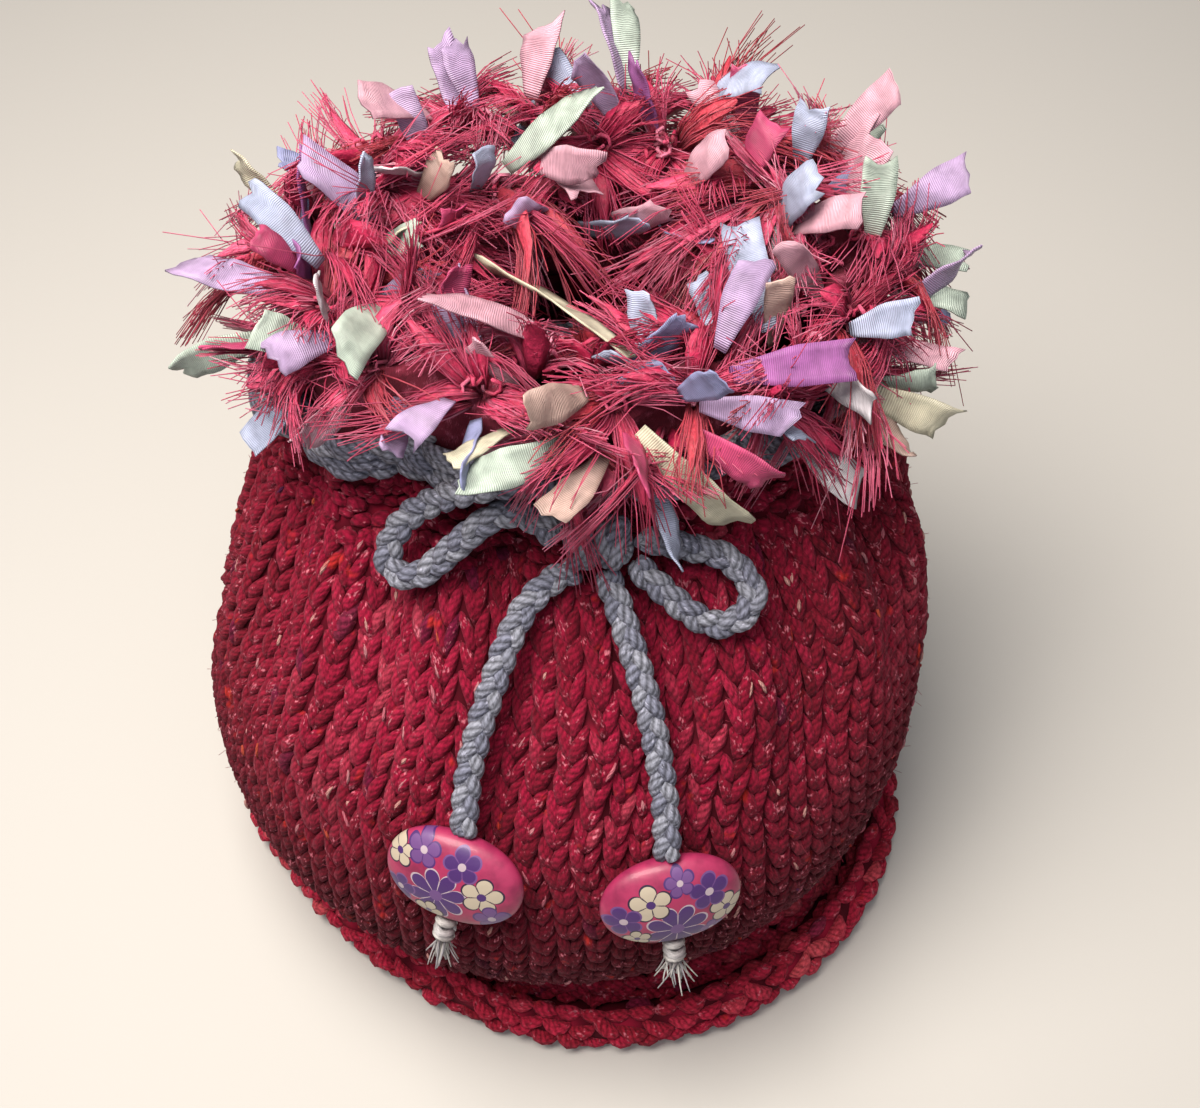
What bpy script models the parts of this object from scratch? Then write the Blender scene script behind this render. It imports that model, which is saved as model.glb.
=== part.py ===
"""A knitted tea cosy with a drawn-in neck, a ruffled frill and a tie that ends in two beads.

The cosy stands on its hem, open underneath. X runs from the spout side (-X) to the handle
side (+X), Y from the front (-Y) to the back, and Z up. The origin is on the surface that
the hem rests on, in the middle of the cosy's box. Sizes are in millimetres until a mesh is made.

It is made as a knitter makes it: a front and a back panel, sewn together at the sides above
and below a slit for the spout and a slit for the handle, a frill knitted on at the neck, and
a crocheted cord threaded through the neck and tied in a bow at the front.
"""

import math

import bpy
import numpy as np
from mathutils.bvhtree import BVHTree

MM = 0.001

# The middle of the cosy's box, in the sizes below. Every piece is moved by it when it is made.
BOX_MIDDLE = (2.45, -0.9, 0.0)

# Cloth and gaps
CLOTH_THICK = 5.0
SEAM_GAP = 0.4
CLEAR = 0.35
COLUMNS_PER_PANEL = 32

# The cloth's middle surface, from the neck down to the rolled hem. Each row is one level of
# knitting and gives where its four sides reach, and which way the oval is skewed:
# height, left, right, front, back, middle_y, skew, pleat
CLOTH = (
    (138.0, -43.0, 59.0, -12.5, 37.0, 11.0, 0.0, 0.9),
    (132.0, -43.0, 59.0, -15.0, 38.0, 11.0, 0.0, 1.7),
    (126.0, -43.5, 59.0, -17.0, 40.0, 10.0, 0.0, 2.0),
    (120.0, -46.5, 64.0, -23.5, 45.5, 9.0, 0.0, 2.6),
    (112.0, -51.0, 71.0, -34.5, 52.0, 7.0, 0.0, 3.3),
    (102.0, -55.5, 76.0, -45.5, 57.5, 4.0, 0.0, 3.0),
    (91.0, -61.0, 79.0, -55.0, 62.5, 2.0, 0.0, 1.8),
    (80.0, -66.0, 81.5, -63.5, 66.5, 0.0, 0.0, 0.6),
    (66.0, -71.0, 82.5, -70.5, 70.5, 0.0, 0.4, 0.0),
    (52.0, -73.5, 82.0, -74.0, 72.5, 0.0, 0.9, 0.0),
    (38.0, -73.5, 80.0, -72.5, 70.5, 0.0, 1.3, 0.0),
    (26.0, -71.5, 76.5, -68.5, 66.5, 0.0, 2.2, 0.0),
    (17.0, -69.0, 73.0, -63.5, 62.0, 0.0, 3.6, 0.0),
    (9.5, -68.5, 70.5, -61.5, 61.0, 0.0, 5.4, 0.0),
)
PLEATS = 14
PLEAT_TOP = 1.5 * math.pi + 0.04
PLEAT_UNEVEN = 0.44
DENT = 0.9

# The hem's own edge, and the section of the garter-stitch roll that curls up along it. The
# section gives how far each step lies in from the edge, and its height.
HEM = {"left": -82.0, "right": 83.5, "front": -77.0, "back": 76.0, "skew": 7.6}
HEM_SECTION = ((13.0, 2.5), (8.5, 2.5), (6.0, 2.5), (3.2, 3.7), (2.0, 6.5), (3.2, 9.3), (5.6, 10.4))
HEM_WAVE = 0.9

# Slits between the panels: where they start and end, and how wide they stand open. A power
# below 1 gives them round ends.
SPOUT_SLIT = {"low": 24.0, "high": 80.0, "width": 24.0}
HANDLE_SLIT = {"low": 16.0, "high": 98.0, "width": 13.0}
SLIT_ENDS = 0.8

# The frill: a knitted band that stands on the neck, with soft folds that grow to its rim.
# Dip is how far a fold sinks for each millimetre that it reaches out.
FRILL_FOOT = 138.35
FRILL_RIM = {"height": 158.0, "left": -38.0, "right": 64.0, "front": -10.0, "back": 46.0, "middle_y": 17.0}
FRILL_THICK = 4.2
FRILL_FOLDS = 7
FRILL_FOLD = 4.5
FRILL_DIP = 0.5
FRILL_TILT = 2.5
FRILL_ROWS = 6
FRILL_STEPS = 84

# Locks of the frill's fancy yarn, in rows up the band. Climb is the angle above level, past 90
# where a lock leans in over the neck, and droop is how far its tip bends down from there:
# face, row, every, first, climb, length, droop
LOCKS = (
    ("outer", 2, 4, 1, -14.0, 19.0, 20.0),
    ("outer", 3, 4, 3, 6.0, 22.0, 22.0),
    ("outer", 4, 4, 2, 28.0, 24.0, 20.0),
    ("rim", 0, 3, 1, 60.0, 23.0, 8.0),
    ("inner", 4, 3, 2, 104.0, 20.0, 0.0),
    ("inner", 3, 4, 1, 134.0, 22.0, 0.0),
    ("inner", 2, 5, 3, 158.0, 20.0, -6.0),
)
BOW_ARC = (232.0, 296.0)

# A lock turns aside or is cut shorter where it has no room, in this order, and is left out
# where nothing fits: turn in degrees, share of its length
LOCK_TRIES = ((0, 1.0), (9, 1.0), (-9, 1.0), (18, 0.9), (-18, 0.9), (0, 0.75), (12, 0.7), (-12, 0.7))
LOCK_UPRIGHT = 0.3

# Sections of a lock from its root to its tip: share of its length, width, thickness
RIBBON = ((0.28, 5.0, 1.8), (0.66, 6.4, 1.2), (1.0, 6.4, 1.2))
RIBBON_CUT = 0.35
TUFT = ((0.45, 4.4, 3.0), (1.0, 3.2, 1.5))

# The tie
CORD_THICK = 5.6
CORD_SIDES = 8
NECK_LEVEL = 2.0
NECK_GAP = 0.16
NECK_SLACK = 3.5
KNOT = {
    "centre": (15.4, -24.7, 133.6), "down": (0.0, -0.5, -0.86), "facing": (0.0, -0.86, 0.5),
    "wide": 14.0, "deep": 8.0, "tall": 11.0,
}
TIE_LOOP_LEFT = (
    (12.0, -20.8, 141.2), (8.0, -20.0, 144.0), (3.9, -19.8, 145.6), (-2.3, -20.1, 145.4),
    (-8.2, -19.9, 143.2), (-14.0, -18.4, 138.4), (-19.4, -18.8, 133.8), (-22.8, -20.8, 129.0),
    (-23.6, -23.2, 125.6), (-21.4, -24.9, 124.0), (-17.3, -25.0, 124.6), (-11.8, -23.2, 129.2),
    (-7.1, -22.2, 134.2), (-2.8, -21.2, 137.4), (1.4, -21.0, 138.0), (4.8, -22.2, 137.0),
    (7.8, -23.8, 134.8),
)
TIE_LOOP_RIGHT = (
    (22.2, -26.8, 129.2), (27.0, -29.6, 125.2), (31.6, -32.2, 121.6), (35.7, -33.4, 119.0),
    (39.8, -33.2, 118.9), (43.0, -31.2, 120.6), (43.6, -28.4, 123.0), (41.2, -25.1, 124.6),
    (38.2, -23.4, 126.6), (32.6, -22.8, 128.4), (28.2, -23.6, 131.4), (23.5, -24.3, 134.3),
)
TIE_END_LEFT = (
    (10.9, -26.6, 127.5), (6.6, -27.6, 125.2), (2.0, -31.4, 122.9), (-1.4, -36.4, 118.9),
    (-4.3, -41.8, 113.5), (-7.3, -47.8, 107.1), (-9.8, -53.8, 100.2), (-10.8, -58.8, 95.4),
    (-11.4, -62.6, 91.6),
)
TIE_END_RIGHT = (
    (16.7, -27.9, 128.0), (18.5, -31.2, 124.9), (20.1, -35.3, 121.5), (22.2, -40.7, 116.5),
    (24.1, -46.1, 110.9), (25.7, -52.0, 104.0), (26.9, -58.5, 96.4), (27.2, -63.0, 91.6),
    (27.3, -66.5, 87.8),
)

# The beads hang by their short way and lie against the cloth. Down is the way from a bead's
# top hole to its bottom one, and facing is the way its broad side looks.
BEAD = {"long": 28.0, "tall": 20.0, "thick": 9.0}
BEAD_PLACES = {
    "left": {"centre": (-13.7, -67.6, 82.5), "down": (-0.22, -0.46, -0.86), "facing": (-0.27, -0.85, 0.45)},
    "right": {"centre": (27.8, -71.1, 78.3), "down": (0.05, -0.43, -0.90), "facing": (0.21, -0.88, 0.42)},
}
STOP = {"long": 7.0, "wide": 4.6}

COLOURS = {
    "wool": (0.42, 0.03, 0.07, 1.0),
    "cord": (0.30, 0.31, 0.42, 1.0),
    "frill": (0.55, 0.07, 0.16, 1.0),
    "clay": (0.62, 0.10, 0.30, 1.0),
    "tail": (0.62, 0.62, 0.62, 1.0),
}


def clear_scene():
    """Remove whatever objects the file opened with."""
    for thing in list(bpy.data.objects):
        bpy.data.objects.remove(thing, do_unlink=True)


def material(name, rough):
    """A plain finish in one of the named colours."""
    made = bpy.data.materials.get(name) or bpy.data.materials.new(name)
    made.use_nodes = True
    shader = made.node_tree.nodes["Principled BSDF"]
    shader.inputs["Base Color"].default_value = COLOURS[name]
    shader.inputs["Roughness"].default_value = rough
    shader.inputs["Metallic"].default_value = 0.0
    made.diffuse_color = COLOURS[name]
    return made


def make_mesh(name, points, faces, finish, smooth=40.0):
    """Turn millimetre points and their faces into a named object with its finish."""
    mesh = bpy.data.meshes.new(name)
    mesh.from_pydata([tuple(p) for p in (np.asarray(points) - BOX_MIDDLE) * MM], [], faces)
    mesh.validate()
    mesh.shade_smooth()
    mesh.set_sharp_from_angle(angle=math.radians(smooth))
    mesh.materials.append(finish)
    thing = bpy.data.objects.new(name, mesh)
    bpy.context.scene.collection.objects.link(thing)
    return thing


def through(rows, steps):
    """Catmull-Rom curve through rows of numbers, read at steps counted in rows."""
    rows = np.asarray(rows, dtype=float)
    steps = np.clip(np.asarray(steps, dtype=float), 0.0, len(rows) - 1.0)
    low = np.minimum(steps.astype(int), len(rows) - 2)
    part = (steps - low)[..., None]
    before = np.where((low > 0)[..., None], rows[np.maximum(low - 1, 0)], 2 * rows[0] - rows[1])
    after = np.where(
        (low < len(rows) - 2)[..., None], rows[np.minimum(low + 2, len(rows) - 1)], 2 * rows[-1] - rows[-2]
    )
    here, there = rows[low], rows[low + 1]
    return 0.5 * (
        2 * here
        + (there - before) * part
        + (2 * before - 5 * here + 4 * there - after) * part**2
        + (3 * here - 3 * there + after - before) * part**3
    )


def hem_rows():
    """The rows of CLOTH that the rolled hem adds, from its section and its edge."""
    rows = []
    for inset, height in HEM_SECTION:
        rows.append((
            height, HEM["left"] + inset, HEM["right"] - inset, HEM["front"] + inset,
            HEM["back"] - inset, 0.0, HEM["skew"], 0.0,
        ))
    return rows


CLOTH_ROWS = CLOTH + tuple(hem_rows())
HEM_START = len(CLOTH)


def cloth_at(level, angle):
    """A point of the cloth's middle surface.

    Level counts rows of CLOTH_ROWS from the neck down. Each level is an oval of four quarter
    ellipses. A skew turns its bulge towards the front right, and pleats stand out of it.
    """
    height, left, right, front, back, middle_y, skew, pleat = np.moveaxis(through(CLOTH_ROWS, level), -1, 0)
    side = np.cos(angle)
    depth = np.sin(angle)
    middle_x = (left + right) / 2
    half = (right - left) / 2
    reach = np.where(depth < 0, middle_y - front, back - middle_y)
    slack = np.sin(angle) ** 2
    out = skew * np.sin(-2 * angle)
    out = out + pleat * (np.cos(PLEATS * (angle - PLEAT_TOP)) + PLEAT_UNEVEN * slack * np.cos(5 * angle + 0.8))
    out = out + DENT * slack * np.sin(3 * angle + 0.035 * height + 0.6)
    hem_part = np.clip(np.asarray(level) - HEM_START - 1.5, 0.0, 1.0)
    lift = HEM_WAVE * hem_part * slack * np.sin(6 * angle + 0.5)
    return np.stack([
        middle_x + (half + out) * side,
        middle_y + (reach + out) * depth,
        height + lift,
    ], axis=-1)


def sheet_faces(level, angle, thick, surface):
    """The two faces of a sheet, half its thickness either side of a surface."""
    small = 1e-3
    along = surface(level + small, angle) - surface(level - small, angle)
    around = surface(level, angle + small) - surface(level, angle - small)
    normal = np.cross(along, around)
    normal /= np.linalg.norm(normal, axis=-1, keepdims=True)
    middle = surface(level, angle)
    return middle + normal * thick / 2, middle - normal * thick / 2


def slit_half_width(height, slit):
    """How far a panel's edge stands back from the side seam, at each height."""
    part = np.clip((height - slit["low"]) / (slit["high"] - slit["low"]), 0.0, 1.0)
    return slit["width"] / 2 * np.sin(math.pi * part) ** SLIT_ENDS


def panel_grid(side):
    """Levels and angles of a panel: side is -1 for the front and +1 for the back."""
    just_in = 0.02
    levels = np.concatenate([np.arange(0.0, 4.0, 0.5), np.arange(4.0, len(CLOTH_ROWS))])
    levels = np.clip(levels, just_in, len(CLOTH_ROWS) - 1 - just_in)
    rows = through(CLOTH_ROWS, levels)
    height, front, back, middle_y = rows[:, 0], rows[:, 3], rows[:, 4], rows[:, 5]
    reach = middle_y - front if side < 0 else back - middle_y
    spread = np.linspace(0.0, 1.0, COLUMNS_PER_PANEL + 1)
    at_spout = np.arcsin((slit_half_width(height, SPOUT_SLIT) + SEAM_GAP / 2) / reach)
    at_handle = np.arcsin((slit_half_width(height, HANDLE_SLIT) + SEAM_GAP / 2) / reach)
    if side < 0:
        start, end = math.pi + at_spout, 2 * math.pi - at_handle
    else:
        start, end = at_handle, math.pi - at_spout
    angle = start[:, None] + (end - start)[:, None] * spread[None, :]
    return np.repeat(levels[:, None], COLUMNS_PER_PANEL + 1, axis=1), angle


def close_sheet(outer, inner):
    """One closed solid from the two faces of a sheet, both as rows of columns of points."""
    rows, columns = outer.shape[:2]
    points = np.concatenate([outer.reshape(-1, 3), inner.reshape(-1, 3)])
    at = np.arange(rows * columns).reshape(rows, columns)
    under = at + rows * columns
    faces = []
    for r in range(rows - 1):
        for c in range(columns - 1):
            faces.append((at[r, c], at[r + 1, c], at[r + 1, c + 1], at[r, c + 1]))
            faces.append((under[r, c], under[r, c + 1], under[r + 1, c + 1], under[r + 1, c]))
        faces.append((at[r, 0], under[r, 0], under[r + 1, 0], at[r + 1, 0]))
        faces.append((at[r, -1], at[r + 1, -1], under[r + 1, -1], under[r, -1]))
    for c in range(columns - 1):
        faces.append((at[0, c], at[0, c + 1], under[0, c + 1], under[0, c]))
        faces.append((at[-1, c], under[-1, c], under[-1, c + 1], at[-1, c + 1]))
    return points, [tuple(int(i) for i in face) for face in faces]


def knitted_panel(name, side):
    """One half of the cosy, from the neck to the rolled hem, as one thick sheet."""
    level, angle = panel_grid(side)
    outer, inner = sheet_faces(level, angle, CLOTH_THICK, cloth_at)
    middle = (outer + inner) / 2
    for edge in (0, -1):
        outer[:, edge, 1] = inner[:, edge, 1] = middle[:, edge, 1]
    outer[0, :, 2] = inner[0, :, 2] = CLOTH[0][0]
    flat = (level > HEM_START - 0.2) & (level < HEM_START + 2.2)
    inner[..., 2] = np.where(flat, 0.0, np.maximum(inner[..., 2], 0.0))
    points, faces = close_sheet(outer, inner)
    return make_mesh(name, points, faces, material("wool", 0.95))


def frill_at(rise, angle):
    """A point of the frill's middle surface: rise runs from 0 at the neck to 1 at the rim.

    The foot follows the top of the cloth. Above it the oval widens, and its pleats give
    way to half as many soft folds, which also dip where they reach out.
    """
    foot = cloth_at(np.zeros_like(angle), angle)
    foot[..., 2] = FRILL_FOOT
    middle_x = (FRILL_RIM["left"] + FRILL_RIM["right"]) / 2
    half = (FRILL_RIM["right"] - FRILL_RIM["left"]) / 2
    middle_y = FRILL_RIM["middle_y"]
    reach = np.where(np.sin(angle) < 0, middle_y - FRILL_RIM["front"], FRILL_RIM["back"] - middle_y)
    fold = np.cos(FRILL_FOLDS * (angle - 1.5 * math.pi)) * FRILL_FOLD
    rim = np.stack([
        middle_x + (half + fold) * np.cos(angle),
        middle_y + (reach + fold) * np.sin(angle),
        FRILL_RIM["height"] - FRILL_DIP * fold + FRILL_TILT * np.sin(2 * angle + 0.7),
    ], axis=-1)
    part = np.asarray(rise)[..., None]
    outward = part * part * (1.6 - 0.6 * part)
    upward = part * (1.15 - 0.15 * part)
    return foot + (rim - foot) * np.concatenate([outward, outward, upward], axis=-1)


def beside(wide, thick):
    """Which corner of a section goes beside each corner of the root, which lies wide and thick."""
    loop = np.array([(-1, -1), (1, -1), (1, 1), (-1, 1)])
    orders = [loop[(first + way * np.arange(4)) % 4] for first in range(4) for way in (1, -1)]
    fits = [wide @ order[:, 0] + thick @ order[:, 1] for order in orders]
    return orders[int(np.argmax(fits))]


def lock_sections(root, heading, climb, droop, length, ribbon):
    """The four-cornered sections of one lock, from just past its root to its tip.

    Each is turned to face along the lock, which bends down along its length by its droop. A
    ribbon is flat and wide, with a tip cut on the slant, and a tuft is nearly square. The
    corners go round so that the first section's lie beside the root's own.
    """
    outward = np.array([math.cos(heading), math.sin(heading), 0.0])
    across = np.array([-math.sin(heading), math.cos(heading), 0.0])
    at = root.mean(axis=0)
    reach = root - at
    done = 0.0
    signs = None
    sections = []
    for share, wide, thick in RIBBON if ribbon else TUFT:
        lift = math.radians(climb - droop * (share + done) / 2)
        along = outward * math.cos(lift) + np.array([0.0, 0.0, math.sin(lift)])
        face = np.cross(across, along)
        at = at + along * length * (share - done)
        done = share
        if signs is None:
            signs = beside(reach @ across, reach @ face)
        slant = along * wide * RIBBON_CUT if ribbon and share == 1.0 else np.zeros(3)
        half_wide, half_thick = across * wide / 2 + slant, face * thick / 2
        sections.append(np.array([at + half_wide * a + half_thick * b for a, b in signs]))
    return sections


def lock_tree(root, sections):
    """A search tree of a lock's sides and tip, from just off its root, to test it for room.

    Its sections are a little fatter than the lock's own, so that what clears it stands apart.
    """
    off, fatter = 0.02, 1.25
    rings = [root + (sections[0] - root) * off]
    rings += [ring.mean(axis=0) + (ring - ring.mean(axis=0)) * fatter for ring in sections]
    faces = []
    for ring in range(len(rings) - 1):
        for i in range(4):
            j = (i + 1) % 4
            faces.append((4 * ring + i, 4 * ring + j, 4 * ring + 4 + j))
            faces.append((4 * ring + i, 4 * ring + 4 + j, 4 * ring + 4 + i))
    last = 4 * len(rings) - 4
    faces.append((last, last + 1, last + 2, last + 3))
    return BVHTree.FromPolygons([tuple(p) for ring in rings for p in ring], faces)


def find_room(root, normal, lock, ribbon, share, others):
    """A lock's sections in the first of its tries that clears every tree in others, or none."""
    middle = ((FRILL_RIM["left"] + FRILL_RIM["right"]) / 2, FRILL_RIM["middle_y"])
    away = root.mean(axis=0)[:2] - middle
    for turn, cut in LOCK_TRIES:
        heading = math.atan2(away[1], away[0]) + math.radians(turn)
        length = lock["length"] * share * cut
        sections = lock_sections(root, heading, lock["climb"], lock["droop"], length, ribbon)
        along = sections[0].mean(axis=0) - root.mean(axis=0)
        if along @ normal < LOCK_UPRIGHT * np.linalg.norm(along):
            continue
        tree = lock_tree(root, sections)
        if not any(tree.overlap(other) for other in others):
            others.append(tree)
            return sections
    return None


def frill_band():
    """The band's points, and its faces by side, row and column, outward round the ring."""
    turns = 2 * math.pi * np.arange(FRILL_STEPS) / FRILL_STEPS
    rise, angle = np.meshgrid(np.linspace(0.0, 1.0, FRILL_ROWS), turns, indexing="ij")
    outer, inner = sheet_faces(-rise, angle, FRILL_THICK, lambda r, a: frill_at(-r, a))
    outer[0, :, 2] = inner[0, :, 2] = FRILL_FOOT
    at = np.arange(FRILL_ROWS * FRILL_STEPS).reshape(FRILL_ROWS, FRILL_STEPS)
    under = at + FRILL_ROWS * FRILL_STEPS
    faces = {}
    for here in range(FRILL_STEPS):
        there = (here + 1) % FRILL_STEPS
        for r in range(FRILL_ROWS - 1):
            faces["outer", r, here] = (at[r, here], at[r, there], at[r + 1, there], at[r + 1, here])
            inner_face = (under[r, here], under[r + 1, here], under[r + 1, there], under[r, there])
            faces["inner", r, here] = inner_face
        faces["rim", 0, here] = (at[-1, here], at[-1, there], under[-1, there], under[-1, here])
        faces["foot", 0, here] = (at[0, here], under[0, here], under[0, there], at[0, there])
    return np.concatenate([outer.reshape(-1, 3), inner.reshape(-1, 3)]), faces


def fancy_frill(name):
    """The frill's band, closed into a ring, with every lock grown out of one of its faces."""
    points, band = frill_band()
    points = [np.array(p) for p in points]
    walls = {key: [int(i) for i in face] for key, face in band.items()}
    trees = [BVHTree.FromPolygons([tuple(p) for p in points], list(walls.values()))]
    faces = []
    count = 0
    for values in LOCKS:
        lock = dict(zip(("face", "row", "every", "first", "climb", "length", "droop"), values))
        for column in range(lock["first"], FRILL_STEPS, lock["every"]):
            degrees = 360.0 * column / FRILL_STEPS
            if lock["face"] == "outer" and lock["row"] == 2 and BOW_ARC[0] < degrees < BOW_ARC[1]:
                continue
            key = (lock["face"], lock["row"], column)
            root = np.array([points[i] for i in walls[key]])
            normal = np.cross(root[2] - root[0], root[3] - root[1])
            normal /= np.linalg.norm(normal)
            ribbon = count % 3 != 1
            share = 0.86 + 0.14 * math.sin(2.4 * count)
            count += 1
            sections = find_room(root, normal, lock, ribbon, share, trees)
            if sections is None:
                continue
            ring = walls.pop(key)
            for section in sections:
                fresh = list(range(len(points), len(points) + 4))
                points.extend(section)
                for i in range(4):
                    j = (i + 1) % 4
                    faces.append((ring[i], ring[j], fresh[j], fresh[i]))
                ring = fresh
            faces.append(tuple(ring))
    faces.extend(tuple(face) for face in walls.values())
    return make_mesh(name, points, faces, material("frill", 0.8))


def cord(name, route, finish, spacing):
    """A round cord as a curve with capped ends, read from a smooth curve through its route."""
    fine = through(route, np.linspace(0, len(route) - 1, 40 * len(route)))
    travelled = np.concatenate([[0.0], np.cumsum(np.linalg.norm(np.diff(fine, axis=0), axis=1))])
    steps = max(3, int(round(travelled[-1] / spacing)))
    marks = np.linspace(0.0, travelled[-1], steps + 1)
    places = np.stack([np.interp(marks, travelled, fine[:, i]) for i in range(3)], axis=1)
    places = (places - BOX_MIDDLE) * MM
    curve = bpy.data.curves.new(name, "CURVE")
    curve.dimensions = "3D"
    curve.bevel_depth = CORD_THICK / 2 * MM
    curve.bevel_resolution = (CORD_SIDES - 4) // 2
    curve.use_fill_caps = True
    spline = curve.splines.new("POLY")
    spline.points.add(len(places) - 1)
    spline.points.foreach_set("co", np.c_[places, np.ones(len(places))].ravel())
    curve.materials.append(finish)
    thing = bpy.data.objects.new(name, curve)
    bpy.context.scene.collection.objects.link(thing)
    return thing


def neck_route():
    """The cord's hidden run round the inside of the neck, open at the front under the bow."""
    angle = np.linspace(-0.5 * math.pi + NECK_GAP, 1.5 * math.pi - NECK_GAP, 60)
    height, left, right, front, back, middle_y = through(CLOTH_ROWS, NECK_LEVEL)[:6]
    inset = CLOTH_THICK / 2 + CORD_THICK / 2 + CLEAR + NECK_SLACK
    reach = np.where(np.sin(angle) < 0, middle_y - front, back - middle_y) - inset
    return np.stack([
        (left + right) / 2 + ((right - left) / 2 - inset) * np.cos(angle),
        middle_y + reach * np.sin(angle),
        np.full_like(angle, height),
    ], axis=1)


def lens(name, centre, down, facing, long, tall, thick, finish, rings=10, turns=18, power=0.8):
    """A rounded solid from its centre, its downward axis and the way its broad side faces.

    A profile runs from one pole to the other along the down axis; power below 1 squares it.
    """
    up = -np.array(down) / np.linalg.norm(down)
    out = np.array(facing) - (np.array(facing) @ up) * up
    out = out / np.linalg.norm(out)
    across = np.cross(up, out)
    centre = np.array(centre)
    points = [centre + up * tall / 2]
    for r in range(1, rings):
        polar = math.pi * r / rings
        for t in range(turns):
            turn = 2 * math.pi * t / turns
            wide = math.sin(polar) ** power
            points.append(
                centre + up * tall / 2 * math.cos(polar)
                + across * long / 2 * wide * math.cos(turn)
                + out * thick / 2 * wide * math.sin(turn)
            )
    points.append(centre - up * tall / 2)
    faces = []
    for t in range(turns):
        n = (t + 1) % turns
        faces.append((0, 1 + n, 1 + t))
        for r in range(rings - 2):
            a = 1 + r * turns
            faces.append((a + t, a + n, a + turns + n, a + turns + t))
        a = 1 + (rings - 2) * turns
        faces.append((a + t, a + n, len(points) - 1))
    return make_mesh(name, points, faces, finish)


def bow_and_ends():
    """The knot, both loops, both hanging ends, and the bead and stop knot on each end."""
    yarn = material("cord", 0.9)
    cord("tie_neck", neck_route(), yarn, spacing=7.0)
    lens(
        "tie_knot", KNOT["centre"], KNOT["down"], KNOT["facing"], KNOT["wide"], KNOT["tall"], KNOT["deep"],
        yarn, rings=8, turns=12,
    )
    cord("tie_loop_left", TIE_LOOP_LEFT, yarn, spacing=4.5)
    cord("tie_loop_right", TIE_LOOP_RIGHT, yarn, spacing=4.5)
    for side, route in (("left", TIE_END_LEFT), ("right", TIE_END_RIGHT)):
        cord("tie_end_" + side, route, yarn, spacing=6.5)
        place = BEAD_PLACES[side]
        down = np.array(place["down"]) / np.linalg.norm(place["down"])
        centre = np.array(place["centre"])
        lens(
            "bead_" + side, centre, down, place["facing"], BEAD["long"], BEAD["tall"], BEAD["thick"],
            material("clay", 0.4),
        )
        stop = centre + down * (BEAD["tall"] / 2 + STOP["long"] / 2 + CLEAR)
        lens(
            "bead_stop_" + side, stop, down, place["facing"], STOP["wide"], STOP["long"], STOP["wide"],
            material("tail", 0.9), rings=6, turns=8,
        )


def main():
    """Model the whole cosy."""
    clear_scene()
    knitted_panel("front_panel", -1)
    knitted_panel("back_panel", 1)
    fancy_frill("frill")
    bow_and_ends()


main()
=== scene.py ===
# %% [markdown]
# # A knitted tea cosy with a hair-yarn frill
#
# The imported model is a hollow cosy in plain solids: two knitted panels, a frill, a tie with a
# bow, and two beads. This lesson dresses each of them in what the eye expects of the real
# thing: single stitches of chunky tweed wool, crocheted cord, hair, ribbon and clay.
#
# The model is loaded first. Lengths below are millimetres until a mesh is made.

# %% Load the model
import math

import bpy
import numpy as np
from mathutils import Matrix, Vector


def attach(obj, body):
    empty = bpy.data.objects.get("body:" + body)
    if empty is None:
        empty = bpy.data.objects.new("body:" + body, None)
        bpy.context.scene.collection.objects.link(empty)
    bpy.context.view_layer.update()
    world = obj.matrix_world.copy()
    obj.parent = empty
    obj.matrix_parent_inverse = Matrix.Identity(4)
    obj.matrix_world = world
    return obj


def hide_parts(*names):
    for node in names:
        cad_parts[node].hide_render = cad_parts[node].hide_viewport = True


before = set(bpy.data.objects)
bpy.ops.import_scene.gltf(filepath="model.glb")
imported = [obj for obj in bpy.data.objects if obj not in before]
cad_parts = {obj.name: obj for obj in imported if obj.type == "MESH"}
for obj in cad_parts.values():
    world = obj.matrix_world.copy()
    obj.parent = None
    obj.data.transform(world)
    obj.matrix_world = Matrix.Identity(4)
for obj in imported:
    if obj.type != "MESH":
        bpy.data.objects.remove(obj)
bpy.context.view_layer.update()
print("nodes:", ", ".join(sorted(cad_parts)))

# %% [markdown]
# ## Helpers for numbers, meshes and materials
#
# All the tables here use the part's own drawing frame, whose origin lies a little off the
# middle of the box. One function moves points from there into the model's frame. Another turns
# a colour picker's hex value into the linear light that a shader works in.

# %% From table to model
MM = 0.001
BOX_MIDDLE = np.array([2.45, -0.9, 0.0])
UP = np.array([0.0, 0.0, 1.0])


def to_model(points):
    """Millimetres in the tables to metres in the model: take away the box's middle, times 0.001."""
    return (np.asarray(points, dtype=float) - BOX_MIDDLE) * MM


def unit(vectors):
    """Each vector divided by its length."""
    return vectors / (np.linalg.norm(vectors, axis=-1, keepdims=True) + 1e-12)


def flat_to(facing, along):
    """Facing with its part along a direction taken out, as unit vectors."""
    return unit(facing - (facing * along).sum(-1, keepdims=True) * along)


def gone_along(paths):
    """How far each point of a path lies from the path's start."""
    steps = np.linalg.norm(np.diff(paths, axis=-2), axis=-1)
    return np.concatenate([np.zeros(steps.shape[:-1] + (1,)), np.cumsum(steps, axis=-1)], axis=-1)


def colour(text):
    """An sRGB hex value as linear red, green, blue and alpha.

    Below 0.04045 a channel is divided by 12.92, and above it is ((c + 0.055) / 1.055) to 2.4.
    """
    channels = np.array([int(text[i:i + 2], 16) / 255 for i in (1, 3, 5)])
    low = channels / 12.92
    high = ((channels + 0.055) / 1.055) ** 2.4
    return tuple(np.where(channels < 0.04045, low, high)) + (1.0,)


def colours(*texts):
    """Several hex values as rows of linear light."""
    return np.array([colour(text) for text in texts])


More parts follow.
